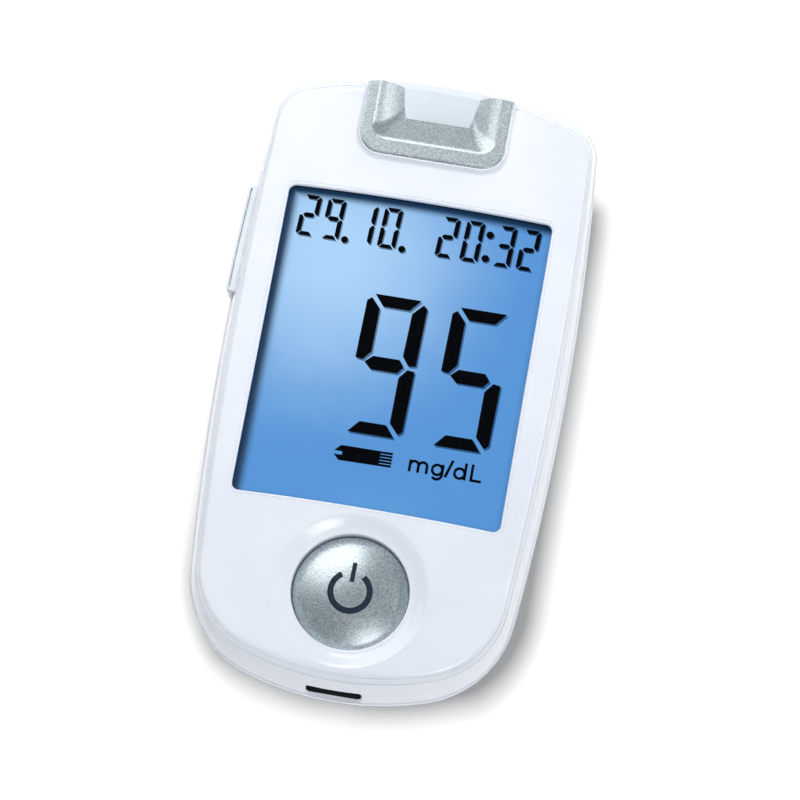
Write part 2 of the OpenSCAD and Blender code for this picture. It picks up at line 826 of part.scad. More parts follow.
module power_button() {
    dome_steps = 12;
    half_angle = asin(button_radius / dome_radius);
    crown = button_rim + button_crown;
    flange_top = cup_bottom - fit;
    color("silver") at_button() difference() {
        rotate_extrude($fn = 96) polygon(concat(
            [[0, plunger_top], [stem_radius, plunger_top], [stem_radius, button_rim - 0.5],
             [button_radius - 1.2, button_rim - 0.5],
             [button_radius - 1.2, flange_top - flange_thickness],
             [flange_radius, flange_top - flange_thickness], [flange_radius, flange_top],
             [button_radius, flange_top], [button_radius, button_rim - 0.15]],
            [for (i = [0 : dome_steps])
                let (a = half_angle * (1 - i / dome_steps) * (button_radius - 0.15) / button_radius)
                [dome_radius * sin(a), crown - dome_radius * (1 - cos(a))]]));
        // A flat keys the flange and clears the data socket.
        translate([-flange_radius, -flange_radius - 1, flange_top - flange_thickness - 1])
            cube([2 * flange_radius, flange_radius + 1 - button_radius - 0.15, 3]);
    }
}

module power_switch() {
    color("dimgray") at_button() difference() {
        slab(5.2, 5.2, board_top, switch_top);
        translate([0, 0, board_top + 0.5]) cylinder(r = plunger_radius + 0.05, h = 3);
    }
}

module power_switch_plunger() {
    color("black") at_button()
        post(0, 0, plunger_radius, board_top + 0.5 + button_travel + fit, plunger_top);
}

module side_rocker() {
    low = rocker_z - rocker_height / 2;
    high = rocker_z + rocker_height / 2;
    color("white") {
        stack([
            at_height(rocker_outline(0.45), low), at_height(rocker_outline(0.13), low + 0.15),
            at_height(rocker_outline(0), low + 0.5), at_height(rocker_outline(0), high - 0.5),
            at_height(rocker_outline(0.13), high - 0.15), at_height(rocker_outline(0.45), high)
        ]);
        post(rocker_x, rocker_y, hub_radius, lug_low + 0.2, lug_high - 0.2);
        post(rocker_x, rocker_y, pin_radius, lug_low - 1.3, lug_high + 1.3);
    }
}

module at_switches() {
    for (side = [-1, 1]) translate([switch_face, rocker_y + side * switch_pitch / 2, switch_z])
        children();
}

module side_switches() {
    color("dimgray") at_switches() difference() {
        translate([0, -2.2, board_bottom - 1.9 - switch_z]) cube([2.6, 4.4, 1.9]);
        translate([-1, -0.8, -0.7]) cube([2.2, 1.6, 1.4]);
    }
}

module side_switch_plungers() {
    color("black") at_switches()
        translate([rocker_back - switch_face, -0.6, -0.5]) cube([switch_face + 0.6 - rocker_back, 1.2, 1]);
}

module usb_socket() {
    middle = board_top + usb_height / 2;
    color("silver") translate([0, usb_mouth, middle]) rotate([-90, 0, 0]) difference() {
        linear_extrude(usb_depth) polygon(round_rect(usb_width, usb_height, 0.5));
        translate([0, 0, -1]) linear_extrude(usb_depth + 1 - usb_shell)
            polygon(round_rect(usb_width - 2 * usb_shell, usb_height - 2 * usb_shell, 0.3));
    }
}

module usb_tongue() {
    color("black") translate([-2, usb_mouth + 0.9, board_top + usb_height / 2 + 0.05])
        cube([4, usb_depth - 1.3, 0.6]);
}

module usb_port_liner() {
    color("#15171a") intersection() {
        difference() {
            translate([-usb_slot_width / 2, -half_length - 1, usb_slot_low])
                cube([usb_slot_width, wall + 0.9, usb_slot_high - usb_slot_low]);
            translate([-usb_slot_width / 2 + liner_side, -half_length - 2, usb_slot_low + liner_floor])
                cube([usb_slot_width - 2 * liner_side, 6, 5]);
        }
        stack([ring(0, 0.15, parting_height), ring(0, 0.15, wide_top),
               ring(bevel_turn, 0.15, bevel_low)]);
    }
}

// A cell along +Y from its flat end, with its button end last.
module cell() {
    nub = 1;
    body = cell_length - nub;
    color("slategray") rotate([-90, 0, 0]) rotate_extrude($fn = 48)
        polygon([[0, 0], [cell_radius - 0.5, 0], [cell_radius, 0.4], [cell_radius, body - 0.5],
                 [cell_radius - 0.5, body], [1.9, body], [1.9, cell_length - 0.2],
                 [1.7, cell_length], [0, cell_length]]);
}

module battery_left() {
    translate([-cell_x, bay_foot + plate_thickness + spring_length, cell_z]) cell();
}

module battery_right() {
    translate([cell_x, bay_head - plate_thickness - spring_length, cell_z])
        rotate([0, 0, 180]) cell();
}

// A conical coil along +Y from its base.
module coil() {
    turns = 3.5;
    per_turn = 14;
    steps = turns * per_turn;
    wires = [for (i = [0 : steps])
        let (t = i / steps, a = 360 * turns * t, r = spring_base + (spring_tip - spring_base) * t,
             y = spring_wire + (spring_length - 2 * spring_wire) * t)
        [for (k = [0 : 5]) let (q = r + spring_wire * cos(60 * k))
            [q * cos(a), y + spring_wire * sin(60 * k), q * sin(a)]]];
    stack(wires);
}

module battery_springs() {
    color("silver") {
        translate([-cell_x, bay_foot + plate_thickness, cell_z]) coil();
        translate([cell_x, bay_head - plate_thickness, cell_z]) rotate([0, 0, 180]) coil();
    }
}

// The bridge at the foot end, and an end plate for each cell at the head.
module battery_plates() {
    reach = cell_radius - 0.85;
    color("silver") {
        translate([0, bay_foot + plate_thickness / 2, 0])
            slab(2 * (cell_x + reach), plate_thickness, cell_z - reach, cell_z + reach);
        for (side = [-1, 1]) translate([side * cell_x, bay_head - plate_thickness / 2, 0])
            slab(2 * reach, plate_thickness, cell_z - reach, cell_z + reach);
    }
}

module housing_screws() {
    color("silver") each_screw() difference() {
        union() {
            translate([0, 0, screw_seat - head_height]) cylinder(r = head_radius, h = head_height);
            translate([0, 0, screw_seat - 0.5]) cylinder(r = screw_radius, h = screw_length + 0.5);
        }
        for (a = [0, 90]) rotate([0, 0, a]) slab(0.5, 2.4, 0, screw_seat - head_height + 0.9);
    }
}

front_housing();
rear_housing();
battery_door();
display_window();
window_adhesive();
display_gasket();
lcd_front_glass();
lcd_rear_glass();
lcd_frame();
backlight_guide();
reflector_sheet();
backlight_leds();
zebra_strip();
main_board();
controller_chip();
memory_chip();
crystal();
board_passives();
strip_port_trim();
strip_port_panel();
strip_connector();
strip_contacts();
power_button();
power_switch();
power_switch_plunger();
side_rocker();
side_switches();
side_switch_plungers();
usb_socket();
usb_tongue();
usb_port_liner();
battery_left();
battery_right();
battery_springs();
battery_plates();
housing_screws();
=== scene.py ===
"""The looks of a blood glucose meter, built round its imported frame.

Every size is in millimetres in the part's own frame: X across, Y towards the strip port and
Z up from the flat back. Shapes are turned into metres when a form becomes a piece.
"""

from __future__ import annotations

import json
import logging
import math
from dataclasses import dataclass
from enum import Enum
from typing import Iterable, Sequence

import bmesh
import bpy
from mathutils import Matrix, Vector

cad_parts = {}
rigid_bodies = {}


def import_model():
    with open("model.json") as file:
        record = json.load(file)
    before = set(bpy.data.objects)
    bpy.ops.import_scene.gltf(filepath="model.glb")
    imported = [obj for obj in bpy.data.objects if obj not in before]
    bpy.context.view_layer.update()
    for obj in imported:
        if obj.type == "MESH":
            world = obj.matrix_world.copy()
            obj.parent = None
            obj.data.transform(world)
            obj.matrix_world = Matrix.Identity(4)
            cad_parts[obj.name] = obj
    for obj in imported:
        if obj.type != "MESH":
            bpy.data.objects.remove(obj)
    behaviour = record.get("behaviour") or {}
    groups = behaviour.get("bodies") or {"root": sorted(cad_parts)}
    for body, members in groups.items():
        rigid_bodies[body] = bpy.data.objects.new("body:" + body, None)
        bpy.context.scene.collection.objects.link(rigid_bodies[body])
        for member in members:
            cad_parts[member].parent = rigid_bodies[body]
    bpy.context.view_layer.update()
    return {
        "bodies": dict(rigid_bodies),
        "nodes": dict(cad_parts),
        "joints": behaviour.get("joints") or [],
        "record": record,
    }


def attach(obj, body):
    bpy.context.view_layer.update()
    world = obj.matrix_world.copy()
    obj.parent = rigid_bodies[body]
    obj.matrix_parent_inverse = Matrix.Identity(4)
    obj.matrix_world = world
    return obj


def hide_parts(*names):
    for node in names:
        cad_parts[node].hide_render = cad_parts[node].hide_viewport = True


LOG = logging.getLogger("meter")
MM = 0.001
Colour = tuple[float, float, float]
Point2 = tuple[float, float]
Point3 = tuple[float, float, float]
Ring = list[Point3]


def shown(red: float, green: float, blue: float) -> Colour:
    """Turns a colour as it looks on a screen, 0 to 255, into the linear one that shaders take.

    Args:
        red: Red, 0 to 255.
        green: Green, 0 to 255.
        blue: Blue, 0 to 255.

    Returns:
        The linear colour.
    """

    def linear(value: float) -> float:
        """Undoes the screen's transfer curve for one channel."""
        part = value / 255.0
        return part / 12.92 if part <= 0.04045 else ((part + 0.055) / 1.055) ** 2.4

    return (linear(red), linear(green), linear(blue))


def mix(start: float, end: float, share: float) -> float:
    """Returns the value that lies share of the way from start to end."""
    return start + (end - start) * share


def bent(start: float, middle: float, end: float, share: float) -> float:
    """Returns the value at share of a quadratic curve from start to end, drawn towards middle."""
    rest = 1.0 - share
    return rest * rest * start + 2.0 * share * rest * middle + share * share * end


def smooth(share: float) -> float:
    """Returns share, kept in 0 to 1 and eased at both ends."""
    part = min(1.0, max(0.0, share))
    return part * part * (3.0 - 2.0 * part)


# ---- Shader sums --------------------------------------------------------------------------


class Value:
    """A socket of a material's nodes, on which sums are written as expressions."""

    def __init__(self, graph: Graph, socket: bpy.types.NodeSocket) -> None:
        """Keeps the socket and the graph that it belongs to."""
        self.graph = graph
        self.socket = socket

    def _sum(self, operation: str, first: object, second: object) -> Value:
        """Adds a Math node on two values and returns its result."""
        return self.graph.node("ShaderNodeMath", {"operation": operation}, {0: first, 1: second})

    def __add__(self, other: Value | float) -> Value:
        """Returns self + other."""
        return self._sum("ADD", self, other)

    __radd__ = __add__

    def __mul__(self, other: Value | float) -> Value:
        """Returns self * other."""
        return self._sum("MULTIPLY", self, other)

    __rmul__ = __mul__

    def __sub__(self, other: Value | float) -> Value:
        """Returns self - other."""
        return self._sum("SUBTRACT", self, other)

    def __rsub__(self, other: Value | float) -> Value:
        """Returns other - self."""
        return self._sum("SUBTRACT", other, self)

    def __truediv__(self, other: Value | float) -> Value:
        """Returns self / other."""
        return self._sum("DIVIDE", self, other)

    def __pow__(self, other: Value | float) -> Value:
        """Returns self to the power of other."""
        return self._sum("POWER", self, other)

    def least(self, other: Value | float) -> Value:
        """Returns the smaller of self and other."""
        return self._sum("MINIMUM", self, other)

    def most(self, other: Value | float) -> Value:
        """Returns the larger of self and other."""
        return self._sum("MAXIMUM", self, other)

    def size(self) -> Value:
        """Returns self without its sign."""
        return self._sum("ABSOLUTE", self, 0.0)

    def rise(self, start: float, end: float, low: float = 0.0, high: float = 1.0) -> Value:
        """Eases from low at start to high at end.

        Args:
            start: Where the rise begins.
            end: Where it ends.
            low: The result up to start.
            high: The result past end.

        Returns:
            The eased value.
        """
        inputs = {"Value": self, "From Min": start, "From Max": end, "To Min": low, "To Max": high}
        return self.graph.node("ShaderNodeMapRange", {"interpolation_type": "SMOOTHSTEP"}, inputs)


class Graph:
    """The nodes of one material or of the world."""

    def __init__(self, tree: bpy.types.NodeTree) -> None:
        """Empties the tree."""
        self.tree = tree
        self.tree.nodes.clear()

    def node(
        self,
        kind: str,
        settings: dict[str, object] | None = None,
        inputs: dict[str | int, object] | None = None,
        output: str | int = 0,
    ) -> Value:
        """Adds a node of any type.

        Args:
            kind: The node's type.
            settings: Its own settings, set first; a ramp takes "stops", pairs of place and colour.
            inputs: Values or links of its sockets.
            output: The socket to return.

        Returns:
            The output socket, ready for sums.
        """
        made = self.tree.nodes.new(kind)
        for key, setting in (settings or {}).items():
            if key == "stops":
                ramp = made.color_ramp.elements
                while len(ramp) < len(setting):
                    ramp.new(0.5)
                for stop, (place, colour) in zip(ramp, setting):
                    stop.position = place
                    stop.color = (*colour, 1.0)
            else:
                setattr(made, key, setting)
        for key, given in (inputs or {}).items():
            socket = made.inputs[key]
            if isinstance(given, Value):
                self.tree.links.new(given.socket, socket)
            elif socket.type == "RGBA" and len(given) == 3:
                socket.default_value = (*given, 1.0)
            else:
                socket.default_value = given
        return Value(self, made.outputs[output])

    def position(self, centre: Sequence[float] = (0, 0, 0), scale: Sequence[float] = (1, 1, 1)) -> Value:
        """Returns the place on the object in millimetres, moved and stretched.

        Args:
            centre: The place that becomes the origin, in millimetres.
            scale: Factors along the three axes.

        Returns:
            The place as a vector.
        """
        coordinates = self.node("ShaderNodeTexCoord", output="Object")
        stretch = [factor / MM for factor in scale]
        shift = [-middle * factor for middle, factor in zip(centre, scale)]
        inputs = {"Vector": coordinates, "Location": shift, "Scale": stretch}
        return self.node("ShaderNodeMapping", None, inputs)

    def axes(self, vector: Value) -> tuple[Value, Value, Value]:
        """Splits a vector into its three numbers."""
        split = self.node("ShaderNodeSeparateXYZ", None, {"Vector": vector}).socket.node
        return tuple(Value(self, split.outputs[i]) for i in range(3))

    def noise(self, cell: float, detail: float = 2.0, vector: Value | None = None) -> Value:
        """Returns soft noise, 0 to 1.

        Args:
            cell: The size of its blotches, in millimetres.
            detail: How many finer layers it has.
            vector: The place that it reads, or None for the place on the object.

        Returns:
            The noise.
        """
        where = vector or self.position()
        inputs = {"Vector": where, "Scale": 1.0 / cell, "Detail": detail}
        return self.node("ShaderNodeTexNoise", None, inputs, "Fac")

    def cells(self, cell: float) -> Value:
        """Returns a random number for each small cell, given the cells' size in millimetres."""
        inputs = {"Vector": self.position(), "Scale": 1.0 / cell}
        return self.axes(self.node("ShaderNodeTexVoronoi", None, inputs, "Color"))[0]

    def blend(self, share: Value | float, first: Value | Colour, second: Value | Colour) -> Value:
        """Mixes two colours: all first where share is 0, all second where it is 1."""
        inputs = {0: share, 6: first, 7: second}
        return self.node("ShaderNodeMix", {"data_type": "RGBA"}, inputs, 2)

    def bump(self, height: Value, depth: float, strength: float = 1.0) -> Value:
        """Returns a normal roughened by height, which spans depth millimetres."""
        inputs = {"Height": height, "Distance": depth * MM, "Strength": strength}
        return self.node("ShaderNodeBump", None, inputs)

    def finish(self, shader: Value, kind: str = "ShaderNodeOutputMaterial") -> None:
        """Adds the output node and links the shader to its surface."""
        made = self.tree.nodes.new(kind)
        self.tree.links.new(shader.socket, made.inputs["Surface"])

    def principled(self, inputs: dict[str, object]) -> None:
        """Ends the graph with a Principled shader that has these inputs."""
        self.finish(self.node("ShaderNodeBsdfPrincipled", None, inputs))


# ---- Finishes -----------------------------------------------------------------------------


@dataclass(frozen=True)
class Finish:
    """How a surface looks. Each kind of finish builds its own material, once."""

    name: str

    def paint(self, graph: Graph) -> None:
        """Adds the nodes of the finish.

        Args:
            graph: The material's nodes.
        """
        raise NotImplementedError

    def material(self) -> bpy.types.Material:
        """Returns the material, built the first time it is asked for.

        Returns:
            The material.
        """
        title = f"looks_{self.name}"
        known = bpy.data.materials.get(title)
        if known is not None:
            return known
        made = bpy.data.materials.new(title)
        made.use_nodes = True
        self.paint(Graph(made.node_tree))
        return made


@dataclass(frozen=True)
class Moulded(Finish):
    """Moulded plastic or rubber, with a faint blotch of tint and a fine skin."""

    # Two tints that blotch into each other; the skin's grain size and depth in millimetres.
    colour: Colour
    second: Colour
    roughness: float = 0.3
    coat: float = 0.0
    skin: float = 0.6
    depth: float = 0.004

    def paint(self, graph: Graph) -> None:
        """Adds the tint, the change of gloss and the skin.

        Args:
            graph: The material's nodes.
        """
        blotch = graph.noise(14.0, 3.0)
        fine = graph.noise(self.skin, 4.0)
        gloss = graph.noise(3.0, 3.0).rise(0.3, 0.75, self.roughness * 0.85, self.roughness * 1.15)
        tint = graph.blend(blotch.rise(0.3, 0.7), self.colour, self.second)
        inputs = {
            "Base Color": tint,
            "Roughness": gloss,
            "Coat Weight": self.coat,
            "Coat Roughness": 0.05,
            "Normal": graph.bump(fine, self.depth),
        }
        graph.principled(inputs)


@dataclass(frozen=True)
class Sparkle(Finish):
    """Silver paint with fine metal flakes under a clear coat."""

    base: Colour
    dark: Colour
    flake: float = 0.12
    roughness: float = 0.35

    def paint(self, graph: Graph) -> None:
        """Adds flakes that differ in brightness and lean, over an even ground.

        Args:
            graph: The material's nodes.
        """
        chance = graph.cells(self.flake)
        coarse = graph.cells(self.flake * 1.7)
        cloud = graph.noise(0.5, 4.0)
        grain = (chance * 0.6 + coarse * 0.3 + cloud * 0.2).rise(0.0, 1.1)
        tint = graph.blend(grain, self.dark, self.base)
        inputs = {
            "Base Color": tint,
            "Metallic": 0.82,
            "Roughness": chance.rise(0.0, 1.0, self.roughness * 0.85, self.roughness * 1.2),
            "Coat Weight": 0.12,
            "Coat Roughness": 0.34,
            "Normal": graph.bump(chance + coarse * 0.6, 0.004, 0.4),
        }
        graph.principled(inputs)


@dataclass(frozen=True)
class Metal(Finish):
    """Plain metal with drawn or rolled lines along one axis."""

    colour: Colour
    second: Colour
    roughness: float = 0.3
    stretch: Sequence[float] = (1.0, 0.08, 1.0)

    def paint(self, graph: Graph) -> None:
        """Adds the lines, and a slight stain.

        Args:
            graph: The material's nodes.
        """
        lines = graph.noise(0.12, 3.0, graph.position(scale=self.stretch))
        stain = graph.noise(2.5, 3.0)
        inputs = {
            "Base Color": graph.blend(stain.rise(0.3, 0.75), self.colour, self.second),
            "Metallic": 1.0,
            "Roughness": lines.rise(0.2, 0.8, self.roughness * 0.75, self.roughness * 1.3),
            "Normal": graph.bump(lines, 0.004),
        }
        graph.principled(inputs)


@dataclass(frozen=True)
class Clear(Finish):
    """A clear sheet: it shows what lies below, and the room's lights in the gloss of its front."""

    tint: Colour
    roughness: float = 0.03
    gloss: float = 1.0

    def paint(self, graph: Graph) -> None:
        """Mixes clear and gloss by the angle of view, with a faint waviness.

        Args:
            graph: The material's nodes.
        """
        wave = graph.bump(graph.noise(5.0, 1.0), 0.002)
        clear = graph.node("ShaderNodeBsdfTransparent", None, {"Color": self.tint})
        shine = {"Color": (1.0, 1.0, 1.0), "Roughness": self.roughness, "Normal": wave}
        gloss = graph.node("ShaderNodeBsdfAnisotropic", None, shine)
        edge = graph.node("ShaderNodeFresnel", None, {"IOR": 1.16}) * self.gloss
        outside = 1.0 - graph.node("ShaderNodeNewGeometry", output="Backfacing")
        graph.finish(graph.node("ShaderNodeMixShader", None, {0: edge * outside, 1: clear, 2: gloss}))


@dataclass(frozen=True)
class Glow(Finish):
    """The lit display: a blue ground, a pale glow, and painted shade along its edges, darkest on two sides.
    """

    # The opening's lower left and upper right corners are low and high.
    ground: Colour
    pale: Colour
    middle: Colour
    # edge is the colour of the painted shade along the display's edges.
    edge: Colour
    low: Point2
    high: Point2

    def paint(self, graph: Graph) -> None:
        """Adds the glow, the second glow at the foot, and the painted shade along the edges.

        Args:
            graph: The material's nodes.
        """
        x, y, _ = graph.axes(graph.position())
        width = self.high[0] - self.low[0]
        length = self.high[1] - self.low[1]
        across = (x - self.low[0]) / width
        down = (self.high[1] - y) / length
        main = ((across - 0.2) * 0.95) ** 2.0 + ((down - 0.19) * 1.1) ** 2.0
        foot = ((across - 0.53) * 1.3) ** 2.0 + ((down - 1.04) * 2.8) ** 2.0
        grain = (graph.noise(6.0, 3.0) - 0.5) * 0.1
        light = (main ** 0.5 + grain).rise(0.04, 0.74, 1.0, 0.0)
        lower = (foot ** 0.5).rise(0.05, 0.5, 0.28, 0.0)
        ground = graph.blend(lower, graph.blend(light, self.ground, self.pale), self.middle)
        # Painted shade: dark bands along the left and top edges, and a fainter darkening along the right and
        # bottom edges.
        bow = (1.0 - (x / self.high[0]) ** 2.0) * WINDOW_BOW
        left = (x - self.low[0]).rise(0.5, 2.6, 1.0, 0.0)
        top = (bow + self.high[1] - y).rise(0.25, 2.3, 1.0, 0.0)
        rest = (self.high[0] - x).least(y - bow - self.low[1]).rise(0.0, 1.2, 0.22, 0.0)
        shade = (left.most(top) ** 1.6).most(rest)
        tint = graph.blend(shade, ground, self.edge)
        inputs = {
            "Base Color": graph.blend(0.5, (0.01, 0.02, 0.04), (0.02, 0.03, 0.05)),
            "Roughness": 0.35,
            "Emission Color": tint,
            "Emission Strength": 1.0,
        }
        graph.principled(inputs)


@dataclass(frozen=True)
class Ink(Finish):
    """Print or a dark display segment."""

    colour: Colour
    roughness: float = 0.5

    def paint(self, graph: Graph) -> None:
        """Adds a dense colour with a slight change in it.

        Args:
            graph: The material's nodes.
        """
        worn = graph.noise(0.8, 3.0).rise(0.25, 0.8, 0.85, 1.25)
        tint = graph.node("ShaderNodeVectorMath", {"operation": "SCALE"}, {0: self.colour, "Scale": worn})
        inputs = {
            "Base Color": tint,
            "Roughness": self.roughness,
            "Specular IOR Level": 0.0,
            "Normal": graph.bump(graph.noise(0.15, 2.0), 0.002),
        }
        graph.principled(inputs)


@dataclass(frozen=True)
class Veil(Finish):
    """The soft shadow that a display segment throws on the ground behind it."""

    colour: Colour
    strength: float

    def paint(self, graph: Graph) -> None:
        """Fades from the shade's middle, by the mesh's own "shade" attribute.

        Args:
            graph: The material's nodes.
        """
        shade = graph.node("ShaderNodeAttribute", {"attribute_name": "shade"}, None, "Fac")
        clear = graph.node("ShaderNodeBsdfTransparent", None, {"Color": (1.0, 1.0, 1.0)})
        dark = graph.node("ShaderNodeBsdfDiffuse", None, {"Color": self.colour})
        share = shade.rise(0.0, 1.0) * self.strength
        graph.finish(graph.node("ShaderNodeMixShader", None, {0: share, 1: clear, 2: dark}))


@dataclass(frozen=True)
class Board(Finish):
    """Circuit board: green lacquer over copper tracks."""

    lacquer: Colour
    track: Colour

    def paint(self, graph: Graph) -> None:
        """Adds straight tracks and the lacquer's gloss.

        Args:
            graph: The material's nodes.
        """
        x, y, _ = graph.axes(graph.position())
        wave = graph.node("ShaderNodeMath", {"operation": "PINGPONG"}, {0: x + (y * 0.35), 1: 0.6})
        lane = wave.rise(0.18, 0.26)
        patch = graph.noise(4.5, 1.0).rise(0.46, 0.5)
        inputs = {
            "Base Color": graph.blend(lane * patch, self.lacquer, self.track),
            "Roughness": 0.35,
            "Coat Weight": 0.4,
            "Normal": graph.bump(lane * patch, 0.03),
        }
        graph.principled(inputs)


WHITE = Moulded("housing_white", shown(238, 240, 247), shown(233, 236, 245), 0.2, 0.35, 0.9, 0.0012)
ROCKER = Moulded("rocker_white", shown(236, 240, 245), shown(228, 234, 240), 0.3, 0.2, 0.5, 0.002)
SILVER = Sparkle("silver_paint", (0.84, 0.9, 0.92), (0.32, 0.38, 0.41))
PANEL = Moulded("panel_pale", shown(222, 229, 237), shown(215, 223, 231), 0.25, 0.2, 1.2, 0.001)
WINDOW = Clear("window_clear", (0.97, 0.985, 1.0))
FOAM = Moulded("dark_foam", (0.004, 0.012, 0.03), (0.008, 0.02, 0.045), 0.8, 0.0, 0.3, 0.02)
REAR_GLASS = Moulded("display_glass", (0.18, 0.32, 0.5), (0.15, 0.28, 0.46), 0.12, 0.3, 2.0, 0.001)
FRAME = Moulded("frame_white", (0.72, 0.73, 0.73), (0.66, 0.67, 0.68), 0.55, 0.0, 0.4, 0.004)
GUIDE = Moulded("light_guide", (0.62, 0.75, 0.9), (0.56, 0.7, 0.88), 0.15, 0.4, 0.7, 0.004)
LED = Moulded("led_yellow", (0.8, 0.75, 0.3), (0.85, 0.82, 0.5), 0.3, 0.2, 0.3, 0.002)
ZEBRA = Moulded("contact_rubber", (0.09, 0.09, 0.1), (0.05, 0.05, 0.06), 0.7, 0.0, 0.2, 0.01)
GREEN = Board("board_green", (0.008, 0.1, 0.035), (0.03, 0.22, 0.08))
CHIP = Moulded("chip_black", (0.012, 0.012, 0.014), (0.02, 0.02, 0.022), 0.5, 0.0, 0.2, 0.006)
LINER = Moulded("liner_black", (0.006, 0.007, 0.009), (0.01, 0.011, 0.013), 0.55, 0.0, 0.3, 0.004)
TIN = Metal("bare_metal", (0.68, 0.68, 0.66), (0.58, 0.59, 0.58), 0.28)
CERAMIC = Moulded("ceramic_tan", (0.28, 0.17, 0.08), (0.34, 0.22, 0.12), 0.6, 0.0, 0.2, 0.004)
GOLD = Metal("contact_gold", (0.9, 0.62, 0.22), (0.82, 0.55, 0.2), 0.25)
CELL = Metal("cell_wrap", (0.12, 0.14, 0.17), (0.1, 0.115, 0.14), 0.32, (1.0, 0.05, 1.0))
STEEL = Metal("screw_steel", (0.5, 0.5, 0.51), (0.42, 0.42, 0.44), 0.33, (1.0, 1.0, 0.1))
SEGMENT = Ink("segment_black", (0.0022, 0.0022, 0.003), 0.6)
SYMBOL = Ink("symbol_slate", shown(42, 55, 66), 0.4)
SHADE = Veil("segment_shade", (0.0, 0.012, 0.05), 0.62)


# ---- Shapes -------------------------------------------------------------------------------


def round_edges(
    mesh: bmesh.types.BMesh, edges: Iterable[bmesh.types.BMEdge], radius: float, segments: int
) -> None:
    """Rounds off some edges of a mesh.

    Args:
        mesh: The mesh that is changed.
        edges: Its edges to round.
        radius: How far the rounding reaches.
        segments: How many faces lie across it.
    """
    bmesh.ops.bevel(
        mesh, geom=list(edges), offset=radius, offset_type="OFFSET", segments=segments,
        profile=0.5, affect="EDGES", material=-1,
    )


